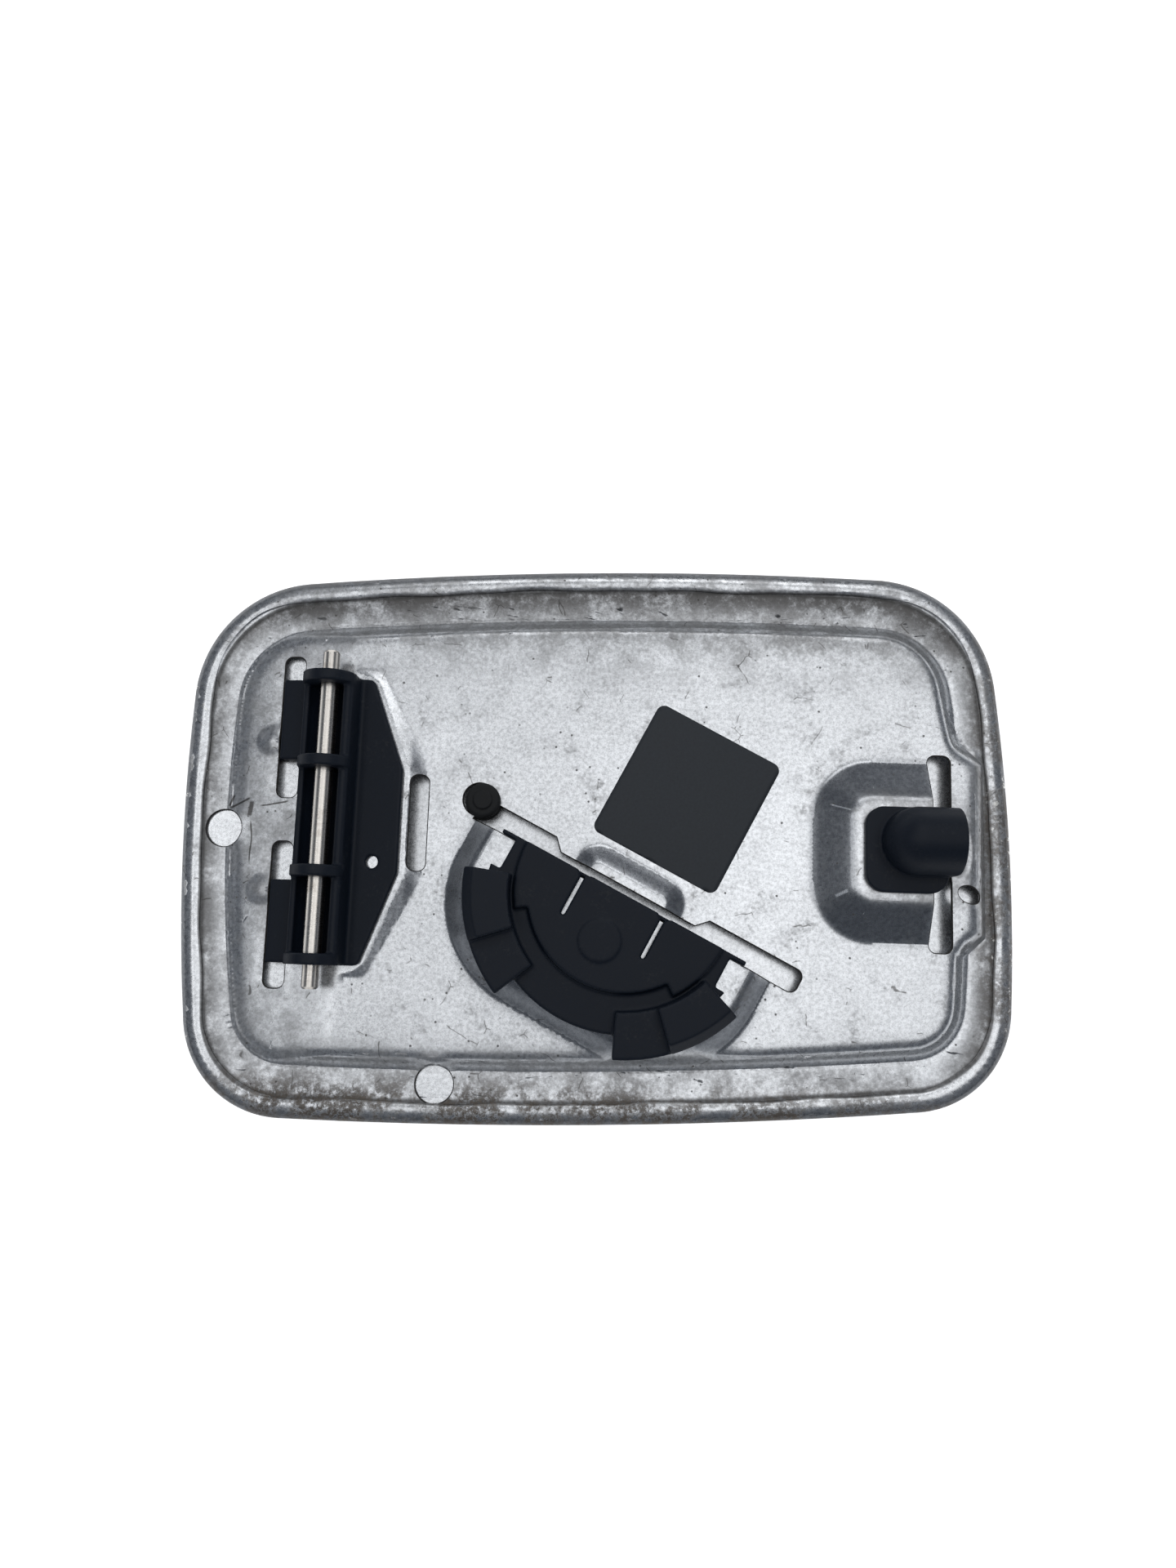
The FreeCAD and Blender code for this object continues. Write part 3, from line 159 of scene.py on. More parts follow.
class Finish:
    """A material built from nodes in the object's own coordinates."""

    def __init__(self, name):
        self.material = bpy.data.materials.new(name)
        self.material.use_nodes = True
        self.tree = self.material.node_tree
        self.shader = self.tree.nodes["Principled BSDF"]
        self.place = self.add("ShaderNodeTexCoord").outputs["Object"]
        self.x, self.y = self.split(self.place)

    def add(self, kind, **settings):
        node = self.tree.nodes.new(kind)
        for key, value in settings.items():
            setattr(node, key, value)
        return node

    def split(self, place):
        parts = self.add("ShaderNodeSeparateXYZ")
        self.feed(parts.inputs[0], place)
        return parts.outputs[0], parts.outputs[1]

    def feed(self, socket, value):
        if isinstance(value, bpy.types.NodeSocket):
            self.tree.links.new(value, socket)
        elif isinstance(value, tuple) and len(value) == 3 and socket.type == "RGBA":
            socket.default_value = (*value, 1)
        else:
            socket.default_value = value

    def set(self, **values):
        """Sets the shader's inputs, with an underscore for each space in their names."""
        for key, value in values.items():
            self.feed(self.shader.inputs[key.replace("_", " ")], value)

    def math(self, operation, first, second=0.0, clamp=False):
        node = self.add("ShaderNodeMath", operation=operation, use_clamp=clamp)
        self.feed(node.inputs[0], first)
        self.feed(node.inputs[1], second)
        return node.outputs[0]

    def size_of(self, value):
        return self.math("ABSOLUTE", value)

    def times(self, *values):
        result = values[0]
        for value in values[1:]:
            result = self.math("MULTIPLY", result, value)
        return result

    def most(self, *values):
        result = values[0]
        for value in values[1:]:
            result = self.math("MAXIMUM", result, value)
        return result

    def rise(self, value, low, high):
        """0 below low, 1 above high, smooth between; high may be the lower one."""
        node = self.add("ShaderNodeMapRange", interpolation_type="SMOOTHSTEP")
        self.feed(node.inputs["Value"], value)
        node.inputs["From Min"].default_value = low
        node.inputs["From Max"].default_value = high
        return node.outputs["Result"]

    def reach(self, coordinate, span):
        """0 at the start of a span in millimetres, 1 at its end."""
        return self.rise(coordinate, span[0] * MM, span[1] * MM)

    def spread(self, value, low, high):
        """0..1 carried to low..high."""
        node = self.add("ShaderNodeMapRange")
        self.feed(node.inputs["Value"], value)
        node.inputs["To Min"].default_value = low
        node.inputs["To Max"].default_value = high
        return node.outputs["Result"]

    def moved(self, shift=(0, 0, 0), turn=0.0, scale=(1, 1, 1)):
        node = self.add("ShaderNodeMapping", vector_type="TEXTURE")
        self.feed(node.inputs["Vector"], self.place)
        node.inputs["Location"].default_value = shift
        node.inputs["Rotation"].default_value = (0, 0, turn)
        node.inputs["Scale"].default_value = scale
        return node.outputs[0]

    def noise(self, size, detail=2.0, rough=0.5, place=None):
        """Cloudy noise whose lumps are about size millimetres across."""
        node = self.add("ShaderNodeTexNoise")
        self.feed(node.inputs["Vector"], place or self.place)
        node.inputs["Scale"].default_value = 1 / (size * MM)
        node.inputs["Detail"].default_value = detail
        node.inputs["Roughness"].default_value = rough
        return node.outputs["Fac"]

    def cells(self, size, feature, place):
        """Distance within cells that are about size millimetres across."""
        node = self.add("ShaderNodeTexVoronoi", feature=feature)
        self.feed(node.inputs["Vector"], place)
        node.inputs["Scale"].default_value = 1 / (size * MM)
        return node.outputs["Distance"]

    def wavy(self, reach, size):
        """The object's coordinates shaken by noise, in millimetres."""
        node = self.add("ShaderNodeTexNoise")
        self.feed(node.inputs["Vector"], self.place)
        node.inputs["Scale"].default_value = 1 / (size * MM)
        away = self.add("ShaderNodeVectorMath", operation="MULTIPLY_ADD")
        self.feed(away.inputs[0], node.outputs["Color"])
        away.inputs[1].default_value = (reach * MM,) * 3
        self.feed(away.inputs[2], self.place)
        return away.outputs[0]

    def mix(self, share, first, second):
        node = self.add("ShaderNodeMix", data_type="RGBA")
        self.feed(node.inputs["Factor"], share)
        self.feed(node.inputs[6], first)
        self.feed(node.inputs[7], second)
        return node.outputs[2]

    def shade(self, colour, share):
        """A colour made darker or lighter by a share round 1."""
        node = self.add("ShaderNodeMix", data_type="RGBA", blend_type="MULTIPLY")
        node.inputs["Factor"].default_value = 1
        self.feed(node.inputs[6], colour)
        joined = self.add("ShaderNodeCombineXYZ")
        for socket in joined.inputs:
            self.feed(socket, share)
        self.tree.links.new(joined.outputs[0], node.inputs[7])
        return node.outputs[2]

    def bump(self, height, depth):
        """Bump of that depth in millimetres where height goes from 0 to 1."""
        node = self.add("ShaderNodeBump")
        node.inputs["Distance"].default_value = depth * MM
        self.feed(node.inputs["Height"], height)
        self.tree.links.new(node.outputs[0], self.shader.inputs["Normal"])

    def attribute(self, name):
        return self.add("ShaderNodeAttribute", attribute_name=name).outputs["Fac"]

    def stroke(self, start, end, width, warp=0.0):
        """1 along a line on the flap seen from above, 0 beside it; millimetres."""
        line = Vector(end) - Vector(start)
        centre = (Vector(start) + Vector(end)) / 2 * MM
        along, across = self.split(self.moved((centre.x, centre.y, 0), math.atan2(line.y, line.x)))
        if warp:
            drift = self.math("SUBTRACT", self.noise(warp * 4, 1), 0.5)
            across = self.math("ADD", across, self.times(drift, warp * MM))
        half = line.length / 2
        inside = self.reach(self.size_of(along), (half, half * STROKE_END))
        return self.times(inside, self.reach(self.size_of(across), (width, width * STROKE_SIDE)))


# Strokes fade out from these shares of their half length and half width.
STROKE_END = 0.7
STROKE_SIDE = 0.4

# Hair-like marks in the paint, and painted highlight streaks on the latch pad's walls: start, end and half
# width
MARK_WARP = 3
DARK_MARKS = (
    ((-89.2, 5.0), (-83.2, 7.4), 0.35),
    ((-83.2, 6.8), (-83.4, 2.6), 0.7),
    ((-83.0, 2.4), (-82.2, -8.8), 0.25),
    ((-81.2, 5.2), (-73.7, 7.0), 0.28),
    ((-89.2, 5.2), (-87.8, 8.2), 0.35),
)
HIGHLIGHT_STREAKS = (((54.6, 9.9), (59.6, 8.3), 0.22), ((55.9, -11.9), (58.8, -10.4), 0.5))

# Colours of the paint, of what lies on it, and of painted shade and painted highlights
SILVER = (0.61, 0.625, 0.645)
# painted shade on the drawn sides of the pads
SLOPE_SHADE = (0.1, 0.112, 0.135)
# painted shade on the outer side of the rolled edge
RIM_SHADE = (0.055, 0.06, 0.07)
ROAD_FILM = (0.14, 0.133, 0.126)
# film along the upper edge, with painted shadow of the hem
TOP_FILM_AND_HEM_SHADOW = (0.075, 0.07, 0.065)
# dirt and painted shade in the seam under the hem
SEAM_DIRT_AND_SHADE = (0.03, 0.029, 0.028)
DARK_CRUST = (0.03, 0.025, 0.02)
PALE_CRUST = (0.17, 0.135, 0.1)
SPECKS = (0.05, 0.045, 0.04)
# colour of the painted highlight streaks
STREAK_HIGHLIGHT = (0.9, 0.92, 0.95)
BARE_STEEL = (0.8, 0.79, 0.76)
INSIDE_GLOSS = 0.1
OUTSIDE_GLOSS = 0.6

# Insets from the flap's outline over which dirt and painted shade begin, from none to full
RIM_INSET = (2.3, 0.3)
FLANGE_INSET = (4.6, 5.2)
UNDER_HEM_INSET = (12, 5.5)
SEAM_OUTSIDE = (4.2, 4.7)
SEAM_INSIDE = (6.1, 5)

# Places across the flap over which dirt, wear and painted shade begin, from none to full
TOP_Y = (44, 54)
BROW_Y = (34, 50)
FOOT_Y = (-46, -54)
CRUST_Y = (-54, -63)
CRUST_X = (88, 97)
SIDES_X = (76, 88)
LEFT_X = (-60, -76)
LATCH_X = (61, 65)
LATCH_Y = (15, 12)
CHIPS_X = (93.5, 95)


def make_paint(name, gloss):
    """Silver paint over pressed steel, mottled by flake, hairlines and years of road dirt, with painted shade
    on slopes, edges and seams and painted highlight streaks.
    """
    f = Finish(name)
    inset, inner = f.attribute("inset"), f.attribute("inner")
    grain = f.noise(0.9, 6, 0.8)
    blotch = f.noise(14, 4, 0.65)
    cloud = f.noise(8, 6, 0.7)
    fine = f.noise(1.5, 6, 0.8)
    streak = f.math("ADD", f.times(cloud, 0.6), f.times(fine, 0.4))
    tone = f.math("ADD", f.spread(f.rise(grain, 0.34, 0.66), 0.72, 1.22), f.spread(blotch, -0.18, 0.18))

    # painted shade on the drawn sides of the pads, and on the outer side of the rolled edge
    painted_slope_shade = f.times(f.attribute("slope"), f.spread(streak, 0.45, 0.8))
    rim = f.times(f.rise(inset, *RIM_INSET), f.spread(streak, 0.7, 1), f.attribute("edge"))

    # dark line where the flange goes under the hem: dirt in the joint, and painted shade of the hem's edge
    seam = f.times(f.rise(inset, *SEAM_INSIDE), f.rise(inset, *SEAM_OUTSIDE), f.spread(fine, 0.5, 1.1), inner)

    # grey film; along the upper edge a darker film with painted shadow of the hem, strongest just under it;
    # brown crust along the lower edge and its right corner
    flange = f.rise(inset, *FLANGE_INSET)
    under = f.rise(inset, *UNDER_HEM_INSET)
    film = f.times(road_film(f, flange, under, cloud, fine, streak), inner)
    top = f.times(f.reach(f.y, TOP_Y), f.rise(streak, 0.3, 0.55), flange, f.spread(under, 0.3, 0.92), inner)
    corner = f.math("ADD", f.reach(f.y, CRUST_Y), f.times(f.reach(f.x, CRUST_X), 0.7), clamp=True)
    crust = f.times(corner, f.rise(cloud, 0.36, 0.54), f.rise(fine, 0.4, 0.55), 0.95, inner)

    # specks, hairlines, painted highlight streaks and chips
    speck = f.times(specks(f), inner)
    hair = f.times(hairlines(f), inner)
    painted_highlight_streak = f.most(*(f.stroke(*mark) for mark in HIGHLIGHT_STREAKS))
    chip = f.times(chips(f), inner)

    colour = f.shade(SILVER, tone)
    for share, coat in (
        (painted_slope_shade, SLOPE_SHADE),
        (rim, RIM_SHADE),
        (film, ROAD_FILM),
        (top, TOP_FILM_AND_HEM_SHADOW),
        (seam, SEAM_DIRT_AND_SHADE),
        (crust, f.mix(f.noise(0.6, 3), DARK_CRUST, PALE_CRUST)),
        (f.most(speck, hair), SPECKS),
        (painted_highlight_streak, STREAK_HIGHLIGHT),
        (chip, BARE_STEEL),
    ):
        colour = f.mix(share, colour, coat)
    # dulls the paint under dirt and where shade is painted
    dirt_and_shade = f.most(film, top, crust, speck, seam)
    f.set(Base_Color=colour, Metallic=f.spread(dirt_and_shade, 0.88, 0.15))
    f.set(Roughness=f.math("ADD", f.spread(grain, 0.19, 0.35), f.times(dirt_and_shade, 0.25)))
    f.set(Coat_Weight=gloss, Coat_Roughness=0.12)
    f.bump(f.math("ADD", f.times(grain, 0.15), f.times(crust, 0.8)), 0.03)
    return f.material


def road_film(f, flange, under, cloud, fine, streak):
    """Share of grey film, thickest on the flange and round the fittings."""
    sides = f.times(under, f.reach(f.size_of(f.x), SIDES_X), f.rise(streak, 0.3, 0.58), flange, 0.75)
    left = f.times(f.reach(f.x, LEFT_X), f.rise(streak, 0.42, 0.62), flange, 0.4)
    brow = f.times(f.reach(f.y, BROW_Y), f.rise(streak, 0.42, 0.6), 0.45)
    hollow = f.times(f.rise(f.attribute("relief"), 0.1, 0.6), f.rise(fine, 0.4, 0.6), 0.35)
    patch = f.times(f.rise(cloud, 0.5, 0.7), f.rise(fine, 0.42, 0.62), 0.5)
    foot = f.times(f.reach(f.y, FOOT_Y), f.rise(streak, 0.38, 0.62), flange, 0.5)
    beside = f.times(f.reach(f.size_of(f.y), LATCH_Y), f.reach(f.x, LATCH_X))
    latch = f.times(beside, f.rise(streak, 0.36, 0.6), 0.4)
    return f.most(sides, left, brow, hollow, patch, foot, latch)


def specks(f):
    spotted = f.cells(2.8, "F1", f.moved((13 * MM, 7 * MM, 0)))
    return f.times(f.rise(spotted, 0.13, 0.06), f.rise(f.noise(9, 2), 0.47, 0.57), 0.85)


def hairlines(f):
    crossing = f.cells(11, "DISTANCE_TO_EDGE", f.wavy(2.2, 4.8))
    hair = f.times(f.rise(crossing, 0.011, 0.004), f.rise(f.noise(4, 2), 0.6, 0.64), 0.7)
    marks = f.most(*(f.stroke(*mark, MARK_WARP) for mark in DARK_MARKS))
    return f.most(hair, f.times(marks, 0.85))


def chips(f):
    """Bare chips on the rolled edge at both ends."""
    ends = f.reach(f.size_of(f.x), CHIPS_X)
    return f.times(ends, f.rise(f.noise(2.2, 5, 0.7), 0.6, 0.64), f.rise(f.noise(18, 1), 0.46, 0.54))


def make_cut_edge():
    """Punched edge of the sheet, dull and dirty, and dark as painted shade along the holes."""
    f = Finish("cut_edge")
    grain = f.noise(0.7, 4, 0.7)
    f.set(Base_Color=f.mix(grain, (0.015, 0.015, 0.016), (0.09, 0.085, 0.08)))
    f.set(Metallic=0.3, Roughness=f.spread(grain, 0.5, 0.8))
    return f.material


def make_plastic():
    """Blue-black moulded plastic, fine grained, with dust."""
    f = Finish("black_plastic")
    grain = f.noise(0.5, 3, 0.6)
    cloud = f.noise(8, 4, 0.6)
    dust = f.times(f.rise(cloud, 0.5, 0.75), f.rise(f.noise(0.9, 4, 0.7), 0.48, 0.7), 0.35)
    colour = f.shade((0.006, 0.0098, 0.0175), f.spread(grain, 0.7, 1.4))
    f.set(Base_Color=f.mix(dust, colour, (0.06, 0.06, 0.058)))
    f.set(Roughness=f.spread(grain, 0.4, 0.6), Specular_IOR_Level=0.2)
    f.bump(grain, 0.02)
    return f.material


def make_steel():
    """Turned steel, warm grey, with fine marks round it."""
    f = Finish("pin_steel")
    rings = f.noise(1, 3, 0.6, f.moved(scale=(6, 0.3, 6)))
    stain = f.times(f.rise(f.noise(5, 4, 0.7), 0.5, 0.72), 0.5)
    f.set(Base_Color=f.mix(stain, (0.62, 0.59, 0.55), (0.25, 0.21, 0.17)))
    f.set(Metallic=1, Roughness=f.spread(rings, 0.2, 0.38))
    f.bump(rings, 0.01)
    return f.material


def make_rubber():
    """Black rubber, dull and grained."""
    f = Finish("black_rubber")
    grain = f.noise(0.8, 4, 0.7)
    f.set(Base_Color=f.shade((0.011, 0.012, 0.013), f.spread(grain, 0.6, 1.6)))
    f.set(Roughness=f.spread(grain, 0.6, 0.8), Specular_IOR_Level=0.3)
    f.bump(grain, 0.03)
    return f.material


def make_film():
    """Matt dark film of the sticker."""
    f = Finish("label_film")
    grain = f.noise(0.6, 4, 0.7)
    f.set(Base_Color=f.shade((0.034, 0.039, 0.046), f.spread(grain, 0.7, 1.35)))
    f.set(Roughness=f.spread(grain, 0.5, 0.7), Specular_IOR_Level=0.3)
    f.bump(grain, 0.015)
    return f.material


# Cleaning of the meshes
WELD = 0.001 * MM
SLIVER = 0.01 * MM
SHARP = math.radians(62)

# Splitting of the meshes: longest edge and passes
SKIN_SPLIT = (25, 3)
HEM_SPLIT = (1.4, 4)
HEM_WIDTH = 6
PANEL_SPLIT = (3.2, 6)
BEND_SPLIT = (1.1, 3)
FILM_SPLIT = (2, 5)

# Grid of heights; its lines keep clear of round numbers, where the faces have their edges
STEP = 0.5
GRID_X = np.arange(-102.13, 102, STEP)
GRID_Y = np.arange(-70.17, 70, STEP)
RAY_START = 50 * MM
BLUR_REACH = 4

# Outer skin: its radius, and the hem's crest, fall to both sides and uneven inner edge
SKIN_RADIUS = 900
HEM_HEIGHT = 2.5
CREST = 3.3
OUTER_FALL = 1.2
INNER_FALL = 2.0
INNER_FALL_MOST = 0.5
INNER_FALL_END = 1.8 * CREST
HEM_WAVE = 0.16
HEM_WAVES = ((1, 6.1, 4.3), (1, 11.3, -8.9), (0.6, 3.1, 2.7))
HEM_WAVY_INSET = (3, 4.8)
INNER_SIDE = (1, 1.5)
OUTER_SIDE = (0.1, 0.7)

# Pressed panel: insets that the bead's steps get and had, its easing, and waves by direction and length
BEAD_NOW = (7, 12.2, 14.9, 40)
BEAD_BEFORE = (7, 10.4, 14.9, 40)
EASING = 0.8
EASED_INSET = (5.5, 7)
WAVE_HEIGHT = 0.012
WAVE_PHASE = 7
WAVES = ((0.3, 47), (1.4, 36), (2.2, 29), (2.9, 61), (0.9, 23))
FILLING = 2
LEAST = 1e-3
STEEP = (0.2, 0.4)
STEEP_BLUR = 0.6
PADS_INSET = (15.5, 17.5)
PADS_LEFT = -45
BUSY_CHANGE = 0.03
BUSY = 0.12
FULL_RELIEF = 0.5

# Holes of the panel: width of the broken edge, and how far up the normals of cut sides and upper faces point
HOLE_BREAK = 0.25
CUT_SIDE = 0.3
UPPER_FACE = 0.6

# Mouldings: piece, node, voxel size of the new surface and passes of smoothing
SMOOTHING = 0.5
PLASTIC_MOULDINGS = (
    ("hinge_moulding", "hinge_clip", 0.33, 4),
    ("latch_moulding", "latch_block", 0.22, 6),
    ("holder_moulding", "cap_holder", 0.33, 4),
)
RUBBER_MOULDING = ("buffer_moulding", "rubber_buffer", 0.16, 4)


def welded(node):
    bm = bmesh.new()
    bm.from_mesh(nodes[node].data)
    bmesh.ops.remove_doubles(bm, verts=bm.verts, dist=WELD)
    bmesh.ops.dissolve_degenerate(bm, edges=bm.edges, dist=SLIVER)
    for edge in bm.edges:
        edge.smooth = edge.calc_face_angle(0) < SHARP
    return bm


def middle(edge):
    spot = (edge.verts[0].co + edge.verts[1].co) / 2 / MM
    return spot.x, spot.y


def finer(bm, longest, passes, wanted=lambda edge: True):
    """Splits edges longer than this many millimetres, pass by pass, where they are wanted."""
    bmesh.ops.triangulate(bm, faces=bm.faces)
    for _ in range(passes):
        long_edges = [edge for edge in bm.edges if edge.calc_length() > longest * MM and wanted(edge)]
        bmesh.ops.subdivide_edges(bm, edges=long_edges, cuts=1)
        bmesh.ops.triangulate(bm, faces=bm.faces)
        bmesh.ops.remove_doubles(bm, verts=bm.verts, dist=SLIVER)


def seen_above(edge):
    return any(face.normal.z > 0 for face in edge.link_faces)


def piece(name, bm, materials, node):
    """A new object from bm that stands for a CAD node."""
    mesh = bpy.data.meshes.new(name)
    bm.to_mesh(mesh)
    bm.free()
    obj = bpy.data.objects.new(name, mesh)
    bpy.context.scene.collection.objects.link(obj)
    for material in materials:
        mesh.materials.append(material)
    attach(obj, "flap")
    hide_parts(node)
    return obj


def smooth_piece(name, bm, materials, node):
    for face in bm.faces:
        face.smooth = True
    return piece(name, bm, materials, node)


def settle(obj):
    """Applies an object's modifiers."""
    bpy.context.view_layer.update()
    final = bpy.data.meshes.new_from_object(obj.evaluated_get(bpy.context.evaluated_depsgraph_get()))
    obj.modifiers.clear()
    obj.data = final
    final.name = obj.name


def points(mesh):
    spots = np.zeros(len(mesh.vertices) * 3)
    mesh.vertices.foreach_get("co", spots)
    return spots.reshape(-1, 3)


def place_points(mesh, spots):
    mesh.vertices.foreach_set("co", spots.ravel())
    mesh.update()


def note(mesh, name, values):
    """Keeps a number for each vertex, for the materials."""
    mesh.attributes.new(name, "FLOAT", "POINT").data.foreach_set("value", values.astype(np.float32))


def ramp(values, low, high):
    """0 below low, 1 above high, straight between."""
    return np.clip((values - low) / (high - low), 0, 1)


def heights(bm):
    """Height of the topmost face over each point of the grid, and where there is one."""
    tree = BVHTree.FromBMesh(bm)
    down = Vector((0, 0, -1))
    z = np.zeros((len(GRID_Y), len(GRID_X)))
    hit = np.zeros_like(z)
    for j, y in enumerate(GRID_Y):
        for i, x in enumerate(GRID_X):
            place = tree.ray_cast(Vector((x * MM, y * MM, RAY_START)), down)[0]
            if place is not None:
                z[j, i] = place.z / MM
                hit[j, i] = 1
    return z, hit


def blurred(grid, width):
    """A Gaussian blur, width in millimetres."""
    reach = int(BLUR_REACH * width / STEP)
    steps = np.arange(-reach, reach + 1) * STEP
    weights = np.exp(-(steps / width) ** 2 / 2)
    weights /= weights.sum()
    for axis in (0, 1):
        grid = np.apply_along_axis(np.convolve, axis, grid, weights, "same")
    return grid


def blurred_within(grid, hit, width):
    """A blur that takes in only the points that are hit."""
    return blurred(grid * hit, width) / np.maximum(blurred(hit, width), LEAST)


def sampled(grid, x, y):
    """Values of the grid at places between its points."""
    i = np.clip((x - GRID_X[0]) / STEP, 0, len(GRID_X) - 1.001)
    j = np.clip((y - GRID_Y[0]) / STEP, 0, len(GRID_Y) - 1.001)
    i0, j0 = np.int_(i), np.int_(j)
    i, j = i - i0, j - j0
    return (
        grid[j0, i0] * (1 - i) * (1 - j)
        + grid[j0, i0 + 1] * i * (1 - j)
        + grid[j0 + 1, i0] * (1 - i) * j
        + grid[j0 + 1, i0 + 1] * i * j
    )


def turns_right(a, b, c):
    return (b[0] - a[0]) * (c[1] - a[1]) - (b[1] - a[1]) * (c[0] - a[0]) <= 0


def edge_distance(node):
    """Distance of each point of the grid inwards from a node's outline, which has no hollow side."""
    bm = welded(node)
    spots = sorted({(round(v.co.x / MM, 4), round(v.co.y / MM, 4)) for v in bm.verts})
    bm.free()
    outline = []
    for run in (spots, spots[::-1]):
        part = []
        for spot in run:
            while len(part) > 1 and turns_right(part[-2], part[-1], spot):
                part.pop()
            part.append(spot)
        outline += part[:-1]
    x, y = np.meshgrid(GRID_X, GRID_Y)
    inset = np.full(x.shape, np.inf)
    for (x0, y0), (x1, y1) in zip(outline, outline[1:] + outline[:1]):
        length = math.hypot(x1 - x0, y1 - y0)
        inset = np.minimum(inset, ((x1 - x0) * (y - y0) - (y1 - y0) * (x - x0)) / length)
    return inset


def crowned_skin(material, inset):
    """The outer skin with its hem crowned and falling away to the outside."""
    bm = welded("outer_skin")
    finer(bm, *SKIN_SPLIT)
    finer(bm, *HEM_SPLIT, lambda edge: sampled(inset, *middle(edge)) < HEM_WIDTH)
    obj = smooth_piece("rolled_skin", bm, [material], "outer_skin")
    spots = points(obj.data)
    x, y, z = spots.T / MM
    depth = sampled(inset, x, y)
    height = z - (SKIN_RADIUS - np.sqrt(SKIN_RADIUS**2 - y**2))
    fold = ramp(height, 0, HEM_HEIGHT) ** 2
    outer_fall = OUTER_FALL * np.clip(1 - depth / CREST, 0, 1) ** 2
    inner_fall = INNER_FALL * np.clip(depth / CREST - 1, 0, INNER_FALL_MOST) ** 2 * (depth < INNER_FALL_END)
    spots[:, 2] -= np.where(depth < CREST, outer_fall, inner_fall) * fold * MM
    wave = HEM_WAVE * sum(share * np.sin(x / across + y / along) for share, across, along in HEM_WAVES)
    away = wave * fold * ramp(depth, *HEM_WAVY_INSET)
    inward_y, inward_x = np.gradient(inset, STEP)
    spots[:, 0] += sampled(inward_x, x, y) * away * MM
    spots[:, 1] += sampled(inward_y, x, y) * away * MM
    place_points(obj.data, spots)
    note(obj.data, "inset", depth)
    note(obj.data, "inner", ramp(height, *INNER_SIDE))
    # upper outer side of the hem, which the paint darkens as painted shade
    note(obj.data, "edge", ramp(height, *OUTER_SIDE))
    even = obj.modifiers.new("even", "WEIGHTED_NORMAL")
    even.keep_sharp = True
    settle(obj)


def softened(panel, inset):
    """Maps of the panel with its bead pressed sharper and its bends eased: lift, waves and steep sides."""
    z, hit = heights(panel)
    for axis in (0, 1):
        hit = np.minimum(hit, np.minimum(np.roll(hit, 1, axis), np.roll(hit, -1, axis)))
    filled = np.where(hit > 0, z, blurred_within(z, hit, FILLING))
    x, y = np.meshgrid(GRID_X, GRID_Y)
    inward_y, inward_x = np.gradient(inset, STEP)
    shift = np.interp(inset, BEAD_NOW, BEAD_BEFORE) - np.interp(inset, BEAD_NOW, BEAD_NOW)
    pressed = sampled(filled, x + inward_x * shift, y + inward_y * shift)
    eased = blurred_within(pressed, hit, EASING)
    change = blurred_within(eased - z, hit, STEP)
    share = ramp(inset, *EASED_INSET)
    share = share * share * (3 - 2 * share)
    waves = sum(
        np.sin((x * math.cos(turn) + y * math.sin(turn)) * 2 * math.pi / length + turn * WAVE_PHASE)
        for turn, length in WAVES
    )
    slope = np.hypot(*np.gradient(eased, STEP))
    # steep sides of the pads, which the paint darkens as painted shade
    steep = blurred(ramp(slope, *STEEP) * hit, STEEP_BLUR) * ramp(inset, *PADS_INSET) * (x > PADS_LEFT)
    return {"inset": inset, "lift": change * share, "waves": waves * WAVE_HEIGHT * share, "slope": steep}


def blunt_holes(bm):
    """Breaks the upper edge of each hole, and gives the cut edges the second material."""
    for face in bm.faces:
        sharp = any(not edge.smooth for edge in face.edges)
        face.material_index = int(abs(face.normal.z) < CUT_SIDE and sharp)
    rims = [
        edge
        for edge in bm.edges
        if not edge.smooth
        and sum(face.normal.z > UPPER_FACE for face in edge.link_faces) == 1
        and sum(face.material_index for face in edge.link_faces) == 1
    ]
    made = bmesh.ops.bevel(
        bm,
        geom=rims,
        offset=HOLE_BREAK * MM,
        offset_type="OFFSET",
        segments=1,
        affect="EDGES",
        clamp_overlap=False,
    )
    for face in made["faces"]:
        face.material_index = 1
        for edge in face.edges:
            edge.smooth = False


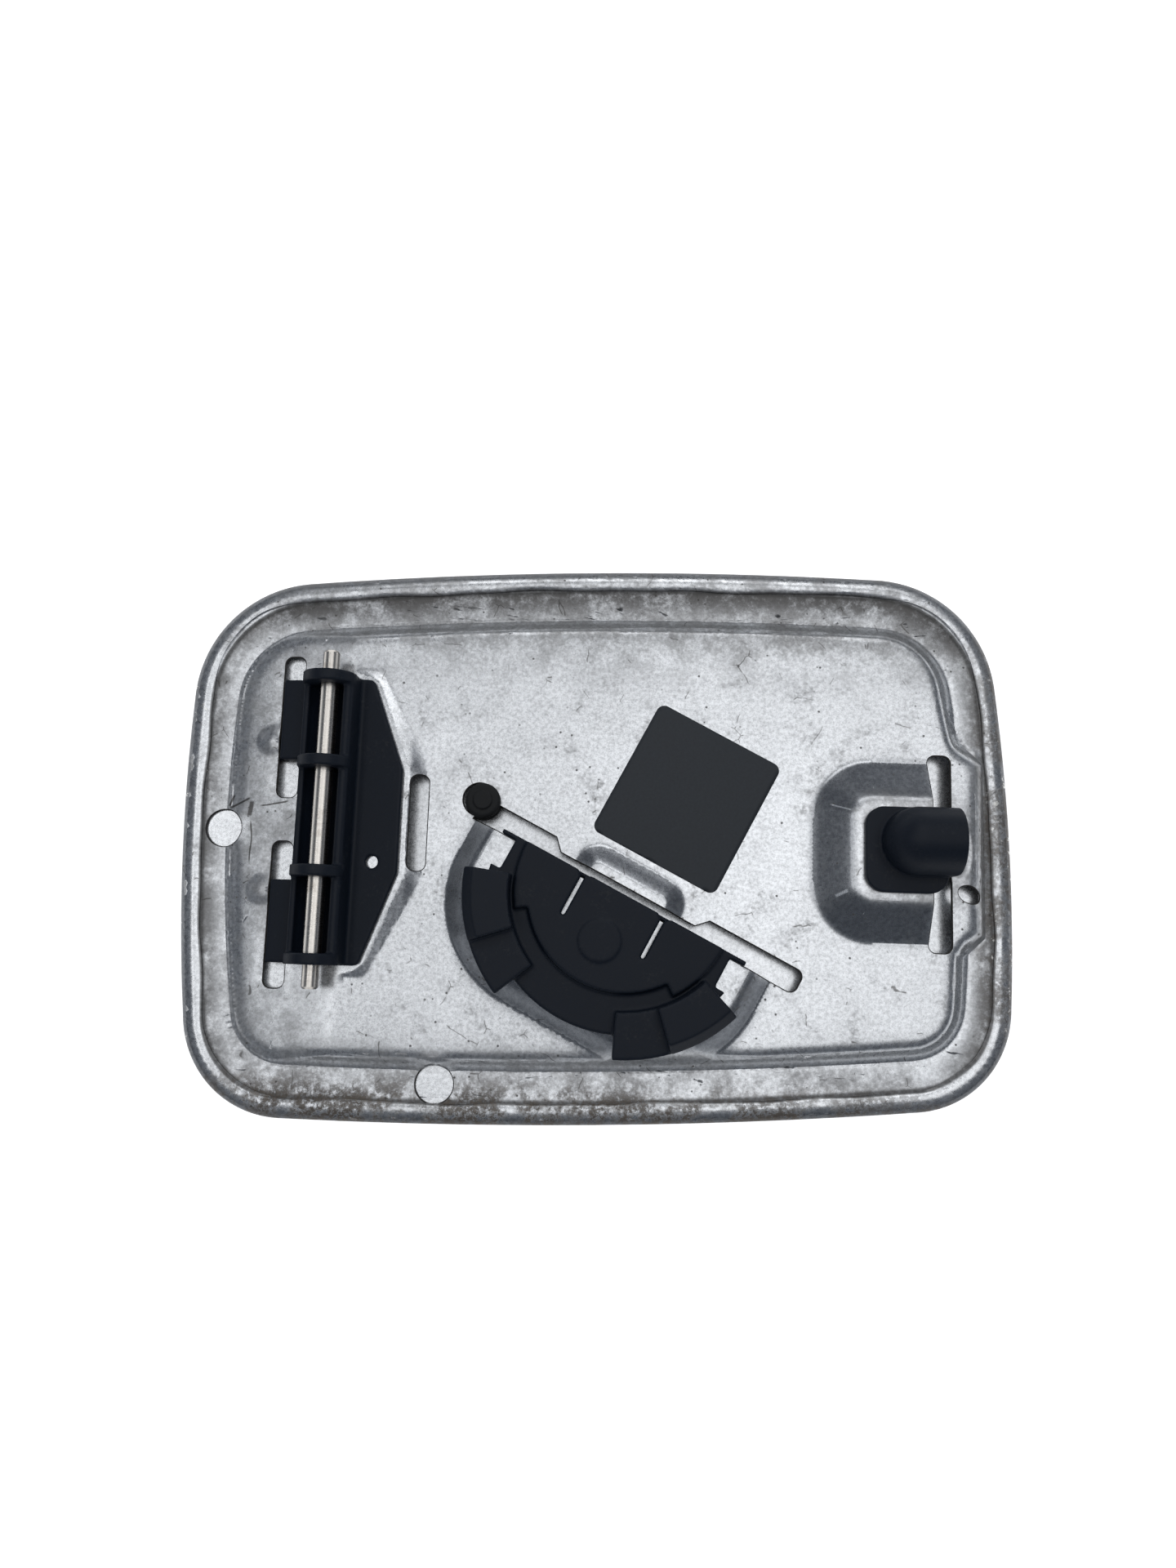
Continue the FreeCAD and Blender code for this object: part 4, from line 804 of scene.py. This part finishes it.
def eased_piece(name, bm, materials, node, maps):
    """A piece of the pressed sheet, or on it, with its bends eased."""
    mesh = smooth_piece(name, bm, materials, node).data
    spots = points(mesh)
    x, y = spots[:, 0] / MM, spots[:, 1] / MM
    lift = sampled(maps["lift"], x, y)
    spots[:, 2] += (lift + sampled(maps["waves"], x, y)) * MM
    place_points(mesh, spots)
    note(mesh, "relief", np.clip(lift / FULL_RELIEF, -1, 1))
    note(mesh, "inset", sampled(maps["inset"], x, y))
    note(mesh, "inner", np.ones(len(x)))
    note(mesh, "slope", sampled(maps["slope"], x, y))


def pressed_panel(materials, inset):
    """The inner panel with eased bends and blunt holes; gives its maps for what lies on it."""
    bm = welded("inner_panel")
    maps = softened(bm, inset)
    blunt_holes(bm)
    busy = blurred((np.abs(maps["lift"]) > BUSY_CHANGE).astype(float), EASING)
    finer(bm, *PANEL_SPLIT)
    finer(bm, *BEND_SPLIT, lambda edge: seen_above(edge) and sampled(busy, *middle(edge)) > BUSY)
    eased_piece("pressed_panel", bm, materials, "inner_panel", maps)
    return maps


def sticker(material, maps):
    bm = welded("label")
    finer(bm, *FILM_SPLIT)
    eased_piece("sticker", bm, [material], "label", maps)


def moulded(name, node, voxel, passes, material, slot):
    """A moulding with its edges rounded off."""
    obj = piece(name, welded(node), [material], node)
    remesh = obj.modifiers.new("remesh", "REMESH")
    remesh.mode = "VOXEL"
    remesh.voxel_size = voxel * MM
    remesh.use_smooth_shade = True
    smooth = obj.modifiers.new("smooth", "SMOOTH")
    smooth.factor = SMOOTHING
    smooth.iterations = passes
    settle(obj)


make_camera()
make_floor()
make_light()

inside_paint = make_paint("silver_paint", INSIDE_GLOSS)
outside_paint = make_paint("silver_paint_outside", OUTSIDE_GLOSS)
plastic = make_plastic()
nodes["hinge_pin"].data.materials.clear()
nodes["hinge_pin"].data.materials.append(make_steel())

skin_inset = edge_distance("outer_skin")
crowned_skin(outside_paint, skin_inset)
panel_maps = pressed_panel([inside_paint, make_cut_edge()], skin_inset)
sticker(make_film(), panel_maps)
for moulding in PLASTIC_MOULDINGS:
    moulded(*moulding, plastic, "black_plastic")
moulded(*RUBBER_MOULDING, make_rubber(), "black_rubber")
